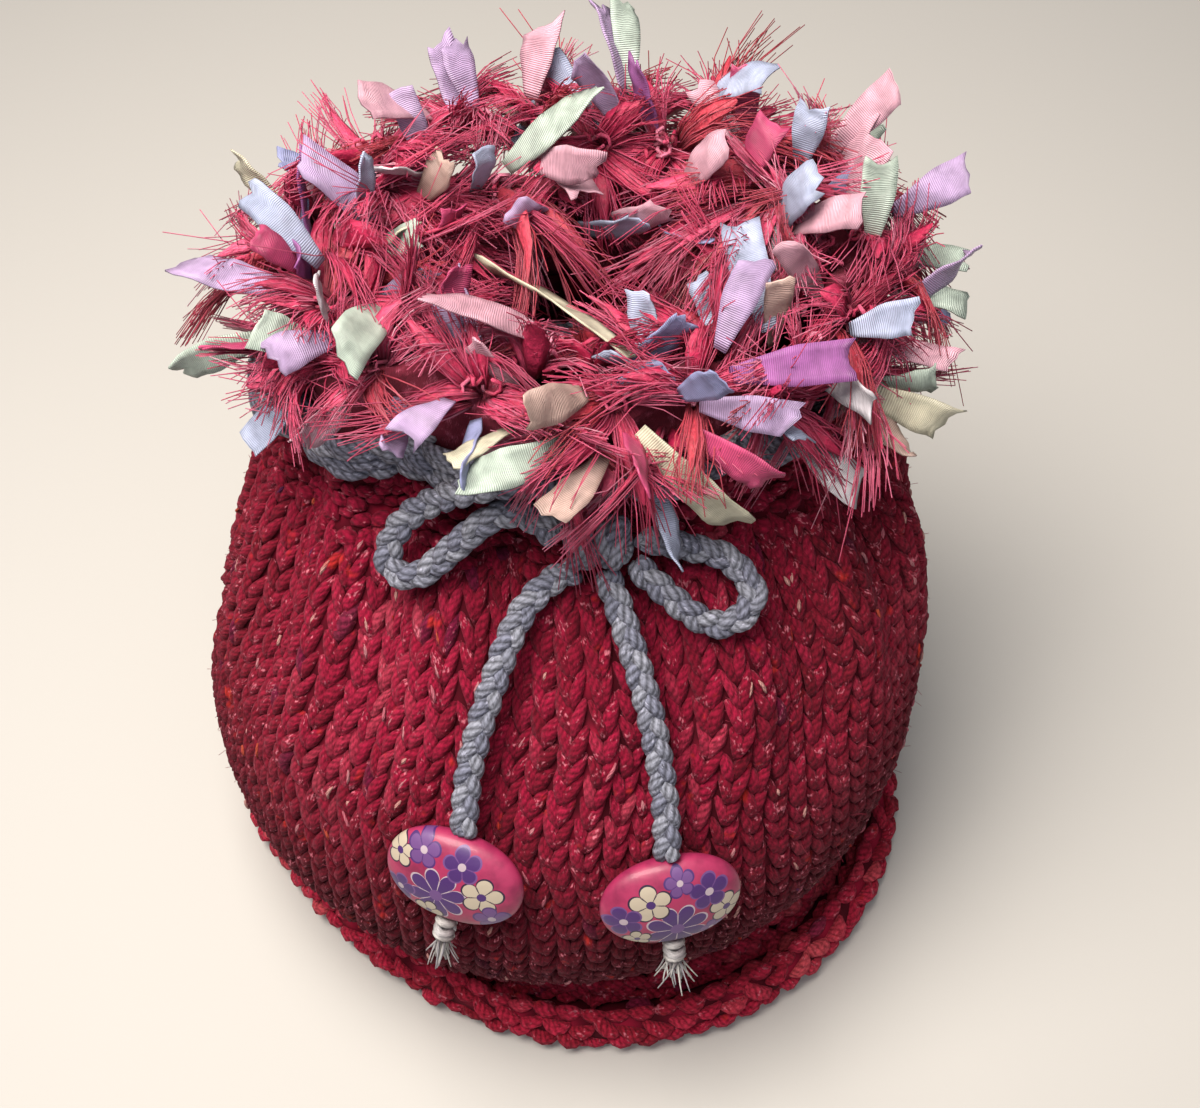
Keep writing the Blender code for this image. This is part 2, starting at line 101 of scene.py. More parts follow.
# %% [markdown]
# A mesh is made from arrays in one go. A form below is a dictionary of points, four-cornered
# and three-cornered faces, a UV for each face corner, and for each point which strand or patch
# owns it, so that a colour can be given to each strand.

# %% Arrays into a mesh
def joined(*forms):
    """Several forms as one, with their point numbers and owners counted on."""
    out = {key: [] for key in ("points", "quads", "tris", "quad_uv", "tri_uv", "owner", "share")}
    points_before, owners_before = 0, 0
    for form in forms:
        out["points"].append(form["points"])
        out["quads"].append(form["quads"] + points_before)
        out["tris"].append(form["tris"] + points_before)
        out["quad_uv"].append(form["quad_uv"])
        out["tri_uv"].append(form["tri_uv"])
        out["owner"].append(form["owner"] + owners_before)
        out["share"].append(form["share"])
        points_before += len(form["points"])
        owners_before += int(form["owner"].max()) + 1
    return {key: np.concatenate(parts) for key, parts in out.items()}


def make_piece(name, form, finish, dye=None, replaces=None):
    """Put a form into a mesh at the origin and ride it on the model's one body.

    Dye is one linear colour for each owner, and share is how far along its strand a point
    lies, from 0 at the root to 1 at the tip. Shaders read both as attributes. Replaces names
    the model's node that the piece stands for.
    """
    quads, tris = form["quads"], form["tris"]
    corners = np.concatenate([quads.ravel(), tris.ravel()]).astype(np.int32)
    starts = np.concatenate([4 * np.arange(len(quads)), 4 * len(quads) + 3 * np.arange(len(tris))])
    mesh = bpy.data.meshes.new(name)
    mesh.vertices.add(len(form["points"]))
    mesh.vertices.foreach_set("co", to_model(form["points"]).astype(np.float32).ravel())
    mesh.loops.add(len(corners))
    mesh.loops.foreach_set("vertex_index", corners)
    mesh.polygons.add(len(starts))
    mesh.polygons.foreach_set("loop_start", starts.astype(np.int32))
    mesh.update(calc_edges=True)
    uv = np.concatenate([form["quad_uv"].reshape(-1, 2), form["tri_uv"].reshape(-1, 2)])
    mesh.uv_layers.new(name="UVMap").data.foreach_set("uv", uv.astype(np.float32).ravel())
    if dye is not None:
        held = mesh.attributes.new("dye", "FLOAT_COLOR", "POINT")
        held.data.foreach_set("color", np.asarray(dye, dtype=np.float32)[form["owner"]].ravel())
    held = mesh.attributes.new("share", "FLOAT", "POINT")
    held.data.foreach_set("value", form["share"].astype(np.float32))
    mesh.shade_smooth()
    mesh.materials.append(finish)
    piece = bpy.data.objects.new(name, mesh)
    bpy.context.scene.collection.objects.link(piece)
    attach(piece, "root")
    if replaces:
        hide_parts(replaces)
    print(f"{name}: {2 * len(quads) + len(tris)} triangles")
    return piece


# %% [markdown]
# Most of what a cosy is made of is yarn, and a strand of yarn is an oval section carried along
# a path. Thousands of strands are worked out together: every array has one row for each strand.

# %% A section carried along many paths
def swept(paths, facing, wide, thick, sides=6):
    """Ovals carried along paths, as (strand, step, xyz) arrays, and closed at both ends.

    Along is the path's direction, face is facing with its part along the path taken out, and
    across = along x face. A ring's point is path + across * wide * cos t + face * thick * sin t.
    """
    count, steps = paths.shape[:2]
    along = unit(np.gradient(paths, axis=1))
    face = flat_to(facing, along)
    across = np.cross(along, face)
    turn = 2 * math.pi * np.arange(sides) / sides
    wide, thick = (np.broadcast_to(half, (count, steps))[:, :, None, None] for half in (wide, thick))
    ring = paths[:, :, None] + across[:, :, None] * wide * np.cos(turn)[:, None]
    ring = ring + face[:, :, None] * thick * np.sin(turn)[:, None]
    at = np.arange(count * steps * sides).reshape(count, steps, sides)
    beside = np.roll(at, -1, axis=2)
    quads = np.stack([at[:, :-1], at[:, 1:], beside[:, 1:], beside[:, :-1]], axis=-1).reshape(-1, 4)
    gone = gone_along(paths)
    u, v, next_v = np.broadcast_arrays(np.arange(sides) / sides, gone[:, :-1, None], gone[:, 1:, None])
    next_u = u + 1 / sides
    corners = ((u, v), (u, next_v), (next_u, next_v), (next_u, v))
    quad_uv = np.stack([np.stack(corner, axis=-1) for corner in corners], axis=-2).reshape(-1, 4, 2)
    first_pole = paths[:, 0] - along[:, 0] * wide[:, 0, 0] * 0.5
    last_pole = paths[:, -1] + along[:, -1] * wide[:, -1, 0] * 0.5
    pole = np.repeat((at.size + np.arange(count))[:, None], sides, 1)
    start_fan = np.stack([pole, at[:, 0], beside[:, 0]], axis=-1)
    end_fan = np.stack([pole + count, beside[:, -1], at[:, -1]], axis=-1)
    tri_u = np.stack([u[:, 0], u[:, 0], next_u[:, 0]], axis=-1)
    tri_v = np.stack([np.zeros(tri_u.shape), np.broadcast_to(gone[:, -1, None, None], tri_u.shape)])
    strand = np.arange(count)
    share = np.broadcast_to(np.linspace(0, 1, steps)[None, :, None], (count, steps, sides)).ravel()
    return {
        "points": np.concatenate([ring.reshape(-1, 3), first_pole, last_pole]),
        "quads": quads,
        "tris": np.concatenate([start_fan, end_fan]).reshape(-1, 3),
        "quad_uv": quad_uv,
        "tri_uv": np.stack([np.stack([tri_u, tri_u]), tri_v], axis=-1).reshape(-1, 3, 2),
        "owner": np.concatenate([np.repeat(strand, steps * sides), strand, strand]),
        "share": np.concatenate([share, np.zeros(count), np.ones(count)]),
    }


def scatter_uv(form, rng):
    """Move each strand's UV along by a length of its own, so that no two carry the same streaks."""
    offset = rng.uniform(0.0, 200.0, (int(form["owner"].max()) + 1, 2)) * np.array([0.0, 1.0])
    form["quad_uv"] = form["quad_uv"] + offset[form["owner"][form["quads"]]]
    form["tri_uv"] = form["tri_uv"] + offset[form["owner"][form["tris"]]]


def slabs(outer, inner, uv, wrap=False):
    """Closed slabs between pairs of grids of points, as (slab, row, column, xyz) arrays.

    Outer faces are wound row by column, inner ones the other way, and a strip of faces closes
    each border. With wrap, the columns close into a ring and only the first and last row have one.
    """
    count, rows, columns = outer.shape[:3]
    at = np.arange(count * rows * columns).reshape(count, rows, columns)
    under = at + at.size

    def faces(*corners):
        return np.stack(corners, axis=-1).reshape(-1, 4)

    sides = [
        faces(at[:, :-1, :-1], at[:, 1:, :-1], at[:, 1:, 1:], at[:, :-1, 1:]),
        faces(under[:, :-1, :-1], under[:, :-1, 1:], under[:, 1:, 1:], under[:, 1:, :-1]),
        faces(at[:, 0, :-1], at[:, 0, 1:], under[:, 0, 1:], under[:, 0, :-1]),
        faces(at[:, -1, :-1], under[:, -1, :-1], under[:, -1, 1:], at[:, -1, 1:]),
    ]
    if not wrap:
        sides.append(faces(at[:, :-1, 0], under[:, :-1, 0], under[:, 1:, 0], at[:, 1:, 0]))
        sides.append(faces(at[:, :-1, -1], at[:, 1:, -1], under[:, 1:, -1], under[:, :-1, -1]))
    quads = np.concatenate(sides)
    share = np.broadcast_to(np.linspace(0, 1, rows)[None, :, None], (count, rows, columns)).ravel()
    form = {
        "points": np.concatenate([outer.reshape(-1, 3), inner.reshape(-1, 3)]),
        "quads": quads,
        "tris": np.zeros((0, 3), int),
        "quad_uv": np.tile(uv.reshape(-1, 2), (2, 1))[quads],
        "tri_uv": np.zeros((0, 3, 2)),
        "owner": np.tile(np.repeat(np.arange(count), rows * columns), 2),
        "share": np.tile(share, 2),
    }
    if wrap:
        first, end = at[:, :, 0].ravel(), at[:, :, -1].ravel()
        same = np.arange(2 * at.size)
        same[end], same[end + at.size] = first, first + at.size
        form["quads"] = same[quads]
    return form


print("helpers ready")

# %% [markdown]
# Shaders are built from nodes. One function adds a node, sets what it has to be set and links
# what it has to be linked, so that each material below reads as a short recipe.

# %% Nodes
def node(tree, kind, settings=None, inputs=None):
    """Add a shader node. Settings are its own properties, and inputs are values or sockets."""
    made = tree.nodes.new("ShaderNode" + kind)
    for key, value in (settings or {}).items():
        setattr(made, key, value)
    for key, value in (inputs or {}).items():
        socket = made.inputs[key]
        if isinstance(value, bpy.types.NodeSocket):
            tree.links.new(value, socket)
        else:
            socket.default_value = value
    return made


def ramp(tree, factor, stops):
    """A Color Ramp through (place, colour) stops, read by factor."""
    made = node(tree, "ValToRGB", None, {"Fac": factor})
    elements = made.color_ramp.elements
    while len(elements) < len(stops):
        elements.new(0.5)
    for element, (place, shade) in zip(elements, stops):
        element.position = place
        element.color = shade
    return made.outputs["Color"]


def mixed(tree, factor, first, second, blend="MIX"):
    """Two colours mixed by factor."""
    made = node(tree, "Mix", {"data_type": "RGBA", "blend_type": blend})
    for socket, value in ((made.inputs[0], factor), (made.inputs[6], first), (made.inputs[7], second)):
        if isinstance(value, bpy.types.NodeSocket):
            tree.links.new(value, socket)
        else:
            socket.default_value = value
    return made.outputs[2]


def new_finish(name, **shader):
    """A material with its shader's constants set; gives the material, its tree and its shader."""
    made = bpy.data.materials.new(name)
    made.use_nodes = True
    principled = made.node_tree.nodes["Principled BSDF"]
    for key, value in shader.items():
        principled.inputs[key.replace("_", " ")].default_value = value
    return made, made.node_tree, principled


def times(tree, first, second):
    """Two colours multiplied."""
    return mixed(tree, 1.0, first, second, "MULTIPLY")


def maths(tree, operation, *values):
    """A Math node over values or sockets."""
    return node(tree, "Math", {"operation": operation}, dict(enumerate(values))).outputs["Value"]


def noise(tree, vector, scale, detail, rough=0.5):
    """A noise texture's value."""
    inputs = {"Vector": vector, "Scale": scale, "Detail": detail, "Roughness": rough}
    return node(tree, "TexNoise", None, inputs).outputs["Fac"]


def drawn_out(tree, vector, scale, shift=(0.0, 0.0, 0.0)):
    """Coordinates scaled and shifted."""
    inputs = {"Vector": vector, "Scale": scale, "Location": shift}
    return node(tree, "Mapping", None, inputs).outputs["Vector"]


def mask(tree, value, low, high):
    """Black below one value, white above another."""
    return ramp(tree, value, [(low, (0, 0, 0, 1)), (high, (1, 1, 1, 1))])


def bands(tree, vector, way, scale, distortion, detail_scale):
    """Soft stripes across X or Y, a little uneven."""
    inputs = {"Vector": vector, "Scale": scale, "Distortion": distortion, "Detail": 1.0}
    inputs["Detail Scale"] = detail_scale
    return node(tree, "TexWave", {"wave_type": "BANDS", "bands_direction": way}, inputs).outputs["Fac"]


def raised_by(tree, shader, height, strength, distance):
    """Let a height, scaled to a distance in metres, tilt a shader's surface."""
    made = node(tree, "Bump", None, {"Strength": strength, "Distance": distance, "Height": height})
    tree.links.new(made.outputs["Normal"], shader.inputs["Normal"])


def own_dye(tree):
    """The dye that each strand or strip carries."""
    return node(tree, "Attribute", {"attribute_name": "dye"}).outputs["Color"]


print("material helpers ready")

# %% [markdown]
# ## The camera
#
# The photo looks down on the cosy from the front, a little to the right of its middle.
# The camera stands where it stood, with the same lens: 1578.5 pixels of focal length over a
# frame 1200 pixels wide is 47.4 mm on a 36 mm sensor.

# %% Camera
CAMERA_AT = (23.4, -179.0, 372.2)
CAMERA_RIGHT = np.array([0.9995, 0.0, -0.0313])
CAMERA_FORWARD = np.array([-0.0266, 0.5368, -0.8433])
CAMERA_UP = np.cross(CAMERA_RIGHT, CAMERA_FORWARD)
FOCAL_PIXELS = 1578.5
PHOTO_WIDE, PHOTO_TALL = 1200, 1108

camera = bpy.data.objects.new("camera", bpy.data.cameras.new("camera"))
bpy.context.scene.collection.objects.link(camera)
turned = Matrix(np.stack([CAMERA_RIGHT, CAMERA_UP, -CAMERA_FORWARD], axis=1).tolist()).to_4x4()
turned.translation = to_model(CAMERA_AT)
camera.matrix_world = turned
camera.data.sensor_width = 36.0
camera.data.lens = FOCAL_PIXELS * 36.0 / PHOTO_WIDE
camera.data.clip_start = 0.01
bpy.context.scene.camera = camera
print("lens in mm:", round(camera.data.lens, 2))

# %% [markdown]
# ## Floor and light
#
# A plain pale floor and soft light from above keep the attention on the yarn. The key lamp
# hangs high up and to the left, so that stitches throw small shadows down the cosy and their
# grooves read dark. A wider and weaker lamp in front opens those shadows.

# %% Floor and lamps
def lamp(name, at, aim, size, watts, shade="#FFFFFF"):
    """A square area lamp at one table point, turned towards another."""
    made = bpy.data.objects.new(name, bpy.data.lights.new(name, "AREA"))
    bpy.context.scene.collection.objects.link(made)
    made.data.size = size
    made.data.energy = watts
    made.data.color = colour(shade)[:3]
    made.location = to_model(at)
    made.rotation_mode = "QUATERNION"
    made.rotation_quaternion = Vector(to_model(aim) - to_model(at)).to_track_quat("-Z", "Y")


lamp("key_lamp", (-110, -30, 620), (0, 0, 90), 0.34, 7.6, "#FFF6EC")
lamp("front_lamp", (160, -480, 520), (10, -40, 90), 0.7, 1.0, "#F4F6FF")
world = bpy.data.worlds.new("studio")
world.use_nodes = True
backdrop = world.node_tree.nodes["Background"]
backdrop.inputs["Color"].default_value = colour("#F2F2F4")
backdrop.inputs["Strength"].default_value = 0.27
bpy.context.scene.world = world
bpy.context.scene.view_settings.view_transform = "Standard"

floor_finish, tree, shader = new_finish("painted_backdrop", Roughness=0.8)
shader.inputs["Base Color"].default_value = colour("#B6B4B0")
grain = noise(tree, node(tree, "TexCoord").outputs["Object"], 400.0, 4.0)
raised_by(tree, shader, grain, 0.05, 0.0005)
floor_mesh = bpy.data.meshes.new("floor")
FLOOR_HALF = 3.0
FLOOR_CORNERS = [(FLOOR_HALF * x, FLOOR_HALF * y, 0.0) for x, y in ((-1, -1), (1, -1), (1, 1), (-1, 1))]
floor_mesh.from_pydata(FLOOR_CORNERS, [], [(0, 1, 2, 3)])
floor_mesh.materials.append(floor_finish)
floor = bpy.data.objects.new("floor", floor_mesh)
bpy.context.scene.collection.objects.link(floor)
print("floor and two lamps")

# %% [markdown]
# ## Yarn finishes
#
# Wool is matt and hairy: light slides off its fibres at a grazing angle, which the shader calls
# sheen. Tweed wool is spun from fibres of many dyes, so its red breaks up into streaks of pale
# pink and blobs of orange. Cotton crochet cord is smoother, and its plies show as fine slanting
# lines; in cord and wool alike the grooves between plies carry a painted shade. The patterns run
# on the yarn's own UV: u goes once round it and v is millimetres along.

# %% Yarn materials
def yarn_finish(
    name, stops, fleck=None, fleck_at=0.62, blob=None, ply=0.0, rough=0.9, sheen=0.05, shine=0.5,
    root=None, groove="#C4C4C4", raised=0.0006,
):
    """Spun yarn whose own dye is multiplied by a streaky fibre noise.

    Stops shade the fibre noise. Fleck is a second dye in thin streaks, and blob one in soft
    spots a few millimetres wide. Ply is how deep its slanting plies are drawn, groove the painted
    shade in the grooves between them, raised the bump's height in metres, and root the painted
    shade of a strand near where it starts, deep in its tuft.
    """
    made, tree, shader = new_finish(
        name, Roughness=rough, Sheen_Weight=sheen, Sheen_Roughness=0.5, Sheen_Tint=colour("#E07088"),
        Specular_IOR_Level=shine,
    )
    uv = node(tree, "UVMap").outputs["UV"]
    place = node(tree, "TexCoord").outputs["Object"]
    fibres = noise(tree, drawn_out(tree, uv, (9.0, 0.55, 1.0)), 1.6, 5.0, 0.65)
    out = times(tree, own_dye(tree), ramp(tree, fibres, stops))
    if blob:
        spots = mask(tree, noise(tree, place, 190.0, 2.0), 0.66, 0.76)
        out = mixed(tree, spots, out, mixed(tree, 0.75, out, colour(blob)))
    if fleck:
        streaks = noise(tree, drawn_out(tree, uv, (7.0, 0.5, 1.0), (3.0, 7.0, 0.0)), 2.3, 3.0)
        broken = maths(tree, "MULTIPLY", streaks, noise(tree, place, 420.0, 1.0))
        thin = mask(tree, broken, fleck_at * 0.50, fleck_at * 0.62)
        out = mixed(tree, thin, out, mixed(tree, 0.6, out, colour(fleck)))
    height = fibres
    if ply:
        parts = node(tree, "SeparateXYZ", None, {"Vector": drawn_out(tree, uv, (4.0, 0.62, 1.0))})
        wave = maths(tree, "PINGPONG", maths(tree, "ADD", parts.outputs["X"], parts.outputs["Y"]), 0.5)
        # Painted shade: the colour is darkened in the grooves between plies.
        out = times(tree, out, ramp(tree, wave, [(0.0, colour(groove)), (0.35, colour("#FFFFFF"))]))
        height = maths(tree, "MULTIPLY_ADD", wave, ply, height)
    # Painted shade: a strand is darkened near its root, deep in its tuft, up to about a third of the way
    # out.
    if root:
        share = node(tree, "Attribute", {"attribute_name": "share"}).outputs["Fac"]
        out = times(tree, out, ramp(tree, share, [(0.0, colour(root)), (0.35, colour("#FFFFFF"))]))
    tree.links.new(out, shader.inputs["Base Color"])
    raised_by(tree, shader, height, 0.7, raised)
    return made


WOOL_STOPS = [(0.30, colour("#7A7A7A")), (0.52, colour("#D9D9D9")), (0.70, colour("#FFFFFF"))]
HAIR_STOPS = [(0.3, colour("#A8A8A8")), (0.7, colour("#FFFFFF"))]
tweed_wool = yarn_finish(
    "tweed_wool_spun", WOOL_STOPS, fleck="#D88090", fleck_at=0.70, blob="#B02A22", ply=0.55,
    rough=0.95, sheen=0.16, shine=0.12,
)
cotton_cord = yarn_finish(
    "cotton_cord_crocheted", WOOL_STOPS, fleck="#C9CAE0", fleck_at=0.72, ply=0.7, rough=0.85,
    sheen=0.02, shine=0.25, groove="#A0A0A0", raised=0.0008,
)
# The hair's roots carry a painted shade, deep in the tufts.
hair_yarn = yarn_finish("silk_hair_yarn", HAIR_STOPS, rough=0.45, sheen=0.0, shine=0.5, root="#8E7A80")
print("yarn finishes ready")

# %% [markdown]
# ## The tie
#
# The cord through the neck is crocheted or braided from three strands. In a flat braid each
# strand swings from side to side once while it dips under and over twice, a third of a turn
# after the next one. Drawing that with sines gives the row of little Vs that a cord shows.

# %% A smooth curve through rows of numbers
def through(rows, steps):
    """Catmull-Rom curve: each stretch is a cubic through two rows, level with their neighbours."""
    rows = np.asarray(rows, dtype=float)
    steps = np.clip(np.asarray(steps, dtype=float), 0.0, len(rows) - 1.0)
    low = np.minimum(steps.astype(int), len(rows) - 2)
    part = (steps - low)[..., None]
    before = np.where((low > 0)[..., None], rows[np.maximum(low - 1, 0)], 2 * rows[0] - rows[1])
    after = np.where(
        (low < len(rows) - 2)[..., None], rows[np.minimum(low + 2, len(rows) - 1)], 2 * rows[-1] - rows[-2]
    )
    here, there = rows[low], rows[low + 1]
    return 0.5 * (
        2 * here
        + (there - before) * part
        + (2 * before - 5 * here + 4 * there - after) * part**2
        + (3 * here - 3 * there + after - before) * part**3
    )


def evenly(route, spacing):
    """Points at an even spacing along the smooth curve through a route."""
    fine = through(route, np.linspace(0, len(route) - 1, 40 * len(route)))
    gone = gone_along(fine)
    marks = np.linspace(0.0, gone[-1], max(8, int(round(gone[-1] / spacing))) + 1)
    return np.stack([np.interp(marks, gone, column) for column in fine.T], axis=1), gone[-1]


# %% Braid
BRAID_PERIOD = 13.2
BRAID_SWING = 1.35
BRAID_DIP = 0.75
STRAND_RADIUS = 1.5
ROUTE_STEP = 0.9
CORD_DYES = [colour("#9699AA"), colour("#A4A7B6"), colour("#888B9F")]


def braid(route, facing, closed=False):
    """Three strands round a route, and the route's length.

    Strand k is at swing * sin(w s + 2 pi k / 3) across the route and dip * sin(2 (w s + 2 pi k / 3))
    along its face, where s is the distance gone and w is 2 pi over the period.
    """
    middle, length = evenly(route, ROUTE_STEP)
    along = unit(np.gradient(middle, axis=0))
    face = flat_to(np.asarray(facing, float), along)
    across = np.cross(along, face)
    gone = np.linspace(0.0, length, len(middle))
    if closed:
        turns = max(1, round(length / BRAID_PERIOD)) / length
    else:
        turns = 1 / BRAID_PERIOD
    phase = 2 * math.pi * (gone * turns + np.arange(3)[:, None] / 3)[..., None]
    paths = middle + across * BRAID_SWING * np.sin(phase) + face * BRAID_DIP * np.sin(2 * phase)
    return swept(paths, face, STRAND_RADIUS, STRAND_RADIUS, sides=8), middle, length


TIE_LOOP_LEFT = (
    (12.0, -20.8, 141.2), (8.0, -20.0, 144.0), (3.9, -19.8, 145.6), (-2.3, -20.1, 145.4),
    (-8.2, -19.9, 143.2), (-14.0, -18.4, 138.4), (-19.4, -18.8, 133.8), (-22.8, -20.8, 129.0),
    (-23.6, -23.2, 125.6), (-21.4, -24.9, 124.0), (-17.3, -25.0, 124.6), (-11.8, -23.2, 129.2),
    (-7.1, -22.2, 134.2), (-2.8, -21.2, 137.4), (1.4, -21.0, 138.0), (4.8, -22.2, 137.0),
    (7.8, -23.8, 134.8),
)
TIE_LOOP_RIGHT = (
    (22.2, -26.8, 129.2), (27.0, -29.6, 125.2), (31.6, -32.2, 121.6), (35.7, -33.4, 119.0),
    (39.8, -33.2, 118.9), (43.0, -31.2, 120.6), (43.6, -28.4, 123.0), (41.2, -25.1, 124.6),
    (38.2, -23.4, 126.6), (32.6, -22.8, 128.4), (28.2, -23.6, 131.4), (23.5, -24.3, 134.3),
)
TIE_END_LEFT = (
    (10.9, -26.6, 127.5), (6.6, -27.6, 125.2), (2.0, -31.4, 122.9), (-1.4, -36.4, 118.9),
    (-4.3, -41.8, 113.5), (-7.3, -47.8, 107.1), (-9.8, -53.8, 100.2), (-10.8, -58.8, 95.4),
    (-11.4, -62.6, 91.6),
)
TIE_END_RIGHT = (
    (16.7, -27.9, 128.0), (18.5, -31.2, 124.9), (20.1, -35.3, 121.5), (22.2, -40.7, 116.5),
    (24.1, -46.1, 110.9), (25.7, -52.0, 104.0), (26.9, -58.5, 96.4), (27.2, -63.0, 91.6),
    (27.3, -66.5, 87.8),
)
FACING_FRONT = (0.0, -0.86, 0.5)

cords = {}
for name, route in (
    ("loop_left", TIE_LOOP_LEFT), ("loop_right", TIE_LOOP_RIGHT),
    ("end_left", TIE_END_LEFT), ("end_right", TIE_END_RIGHT),
):
    form, middle, length = braid(route, FACING_FRONT)
    piece = make_piece("cord_" + name, form, cotton_cord, CORD_DYES, replaces="tie_" + name)
    cords[name] = (piece, to_model(middle), length * MM)
    print(f"{name}: {length:.0f} mm long")

# %% [markdown]
# The knot is the same cord, wound twice round its own two parts where they cross. A wrap is a
# closed loop, so its braid takes a whole number of periods to meet itself.

# %% Knot
KNOT_AT = np.array([15.4, -24.7, 133.6])
KNOT_DEEP, KNOT_HIGH = 2.3, 3.4
knot_down = unit(np.array([0.0, -0.5, -0.86]))
knot_out = flat_to(np.array(FACING_FRONT), knot_down)
knot_side = np.cross(knot_down, knot_out)
ring = np.linspace(0.0, 2 * math.pi, 33)[:, None]
wraps = []
for shift, lean in ((-3.1, 0.9), (3.0, -0.7)):
    route = KNOT_AT + knot_side * (shift + lean * np.sin(ring))
    route = route + knot_down * KNOT_HIGH * np.cos(ring) + knot_out * KNOT_DEEP * np.sin(ring)
    inward = unit(KNOT_AT + knot_side * shift - route)
    steps = np.linspace(0, len(route) - 1, len(evenly(route, ROUTE_STEP)[0]))
    wraps.append(braid(route, -through(inward, steps), closed=True)[0])
make_piece("cord_knot", joined(*wraps), cotton_cord, CORD_DYES * 2, replaces="tie_knot")

# %% [markdown]
# ## The cloth's own surface
#
# Every stitch, bump and fibre has to know where the cloth runs. The cloth is written once, as a
# surface of two numbers: the level, counted in rows of a table from the neck down to the hem's
# rolled edge, and the angle round the cosy. Each level is an oval of four quarter ellipses, with
# pleats that the drawn-in neck gathers.

# %% Cloth
# Each row: height, left, right, front, back, where the front and back halves meet, skew, pleat.
CLOTH = (
    (138.0, -43.0, 59.0, -12.5, 37.0, 11.0, 0.0, 0.9),
    (132.0, -43.0, 59.0, -15.0, 38.0, 11.0, 0.0, 1.7),
    (126.0, -43.5, 59.0, -17.0, 40.0, 10.0, 0.0, 2.0),
    (120.0, -46.5, 64.0, -23.5, 45.5, 9.0, 0.0, 2.6),
    (112.0, -51.0, 71.0, -34.5, 52.0, 7.0, 0.0, 3.3),
    (102.0, -55.5, 76.0, -45.5, 57.5, 4.0, 0.0, 3.0),
    (91.0, -61.0, 79.0, -55.0, 62.5, 2.0, 0.0, 1.8),
    (80.0, -66.0, 81.5, -63.5, 66.5, 0.0, 0.0, 0.6),
    (66.0, -71.0, 82.5, -70.5, 70.5, 0.0, 0.4, 0.0),
    (52.0, -73.5, 82.0, -74.0, 72.5, 0.0, 0.9, 0.0),
    (38.0, -73.5, 80.0, -72.5, 70.5, 0.0, 1.3, 0.0),
    (26.0, -71.5, 76.5, -68.5, 66.5, 0.0, 2.2, 0.0),
    (17.0, -69.0, 73.0, -63.5, 62.0, 0.0, 3.6, 0.0),
    (9.5, -68.5, 70.5, -61.5, 61.0, 0.0, 5.4, 0.0),
)
HEM_LEFT, HEM_RIGHT, HEM_FRONT, HEM_BACK, HEM_SKEW = -82.0, 83.5, -77.0, 76.0, 7.6
HEM_SECTION = ((13.0, 2.5), (8.5, 2.5), (6.0, 2.5), (3.2, 3.7), (2.0, 6.5), (3.2, 9.3), (5.6, 10.4))
CLOTH_ROWS = np.array(CLOTH + tuple(
    (up, HEM_LEFT + inset, HEM_RIGHT - inset, HEM_FRONT + inset, HEM_BACK - inset, 0.0, HEM_SKEW, 0.0)
    for inset, up in HEM_SECTION
))
HEM_START = len(CLOTH)
HEM_END = len(CLOTH_ROWS) - 1
PLEATS, PLEAT_UNEVEN, DENT, HEM_WAVE = 14, 0.44, 0.9, 0.9
PLEAT_TOP = 1.5 * math.pi + 0.04
LEFT_SLIT = {"low": 24.0, "high": 80.0, "width": 24.0}
RIGHT_SLIT = {"low": 16.0, "high": 98.0, "width": 13.0}
SLIT_ENDS = 0.8
SEAM_GAP = 0.4


def cloth_at(level, angle):
    """A point of the cloth's middle surface: an oval, pushed out by a skew, pleats and a slow dent."""
    level, angle = np.broadcast_arrays(np.asarray(level, float), np.asarray(angle, float))
    height, left, right, front, back, middle_y, skew, pleat = np.moveaxis(through(CLOTH_ROWS, level), -1, 0)
    side, depth = np.cos(angle), np.sin(angle)
    reach = np.where(depth < 0, middle_y - front, back - middle_y)
    slack = depth**2
    out = skew * np.sin(-2 * angle)
    fold = np.cos(PLEATS * (angle - PLEAT_TOP)) + PLEAT_UNEVEN * slack * np.cos(5 * angle + 0.8)
    out = out + pleat * fold
    out = out + DENT * slack * np.sin(3 * angle + 0.035 * height + 0.6)
    lift = HEM_WAVE * np.clip(level - HEM_START - 1.5, 0.0, 1.0) * slack * np.sin(6 * angle + 0.5)
    x = (left + right) / 2 + ((right - left) / 2 + out) * side
    return np.stack([x, middle_y + (reach + out) * depth, height + lift], axis=-1)


def outward(surface, level, angle):
    """The unit normal of a surface: the cross product of its two slopes."""
    small = 1e-3
    down = surface(level + small, angle) - surface(level - small, angle)
    around = surface(level, angle + small) - surface(level, angle - small)
    return unit(np.cross(down, around))


def panel_edges(side, level):
    """The two angles between which a panel runs at each level; side is -1 in front, +1 behind.

    A slit's edge stands back from the seam by half the slit's width times sin(pi p) to a power,
    where p runs from the slit's low end to its high end.
    """
    row = through(CLOTH_ROWS, level)
    height, front, back, middle_y = row[..., 0], row[..., 3], row[..., 4], row[..., 5]
    reach = middle_y - front if side < 0 else back - middle_y
    angles = []
    for slit in (LEFT_SLIT, RIGHT_SLIT):
        part = np.clip((height - slit["low"]) / (slit["high"] - slit["low"]), 0.0, 1.0)
        stand_back = slit["width"] / 2 * np.sin(math.pi * part) ** SLIT_ENDS
        angles.append(np.arcsin((stand_back + SEAM_GAP / 2) / reach))
    left, right = angles
    if side < 0:
        return math.pi + left, 2 * math.pi - right
    return right, math.pi - left


def panel_at(side, level, spread, out=0.0):
    """A point of a panel and its normal: spread is 0 at one side edge and 1 at the other."""
    start, end = panel_edges(side, level)
    angle = start + (end - start) * spread
    level = np.clip(level, 0.02, HEM_END - 0.02)
    normal = outward(cloth_at, level, angle)
    return cloth_at(level, angle) + normal * np.asarray(out)[..., None], normal


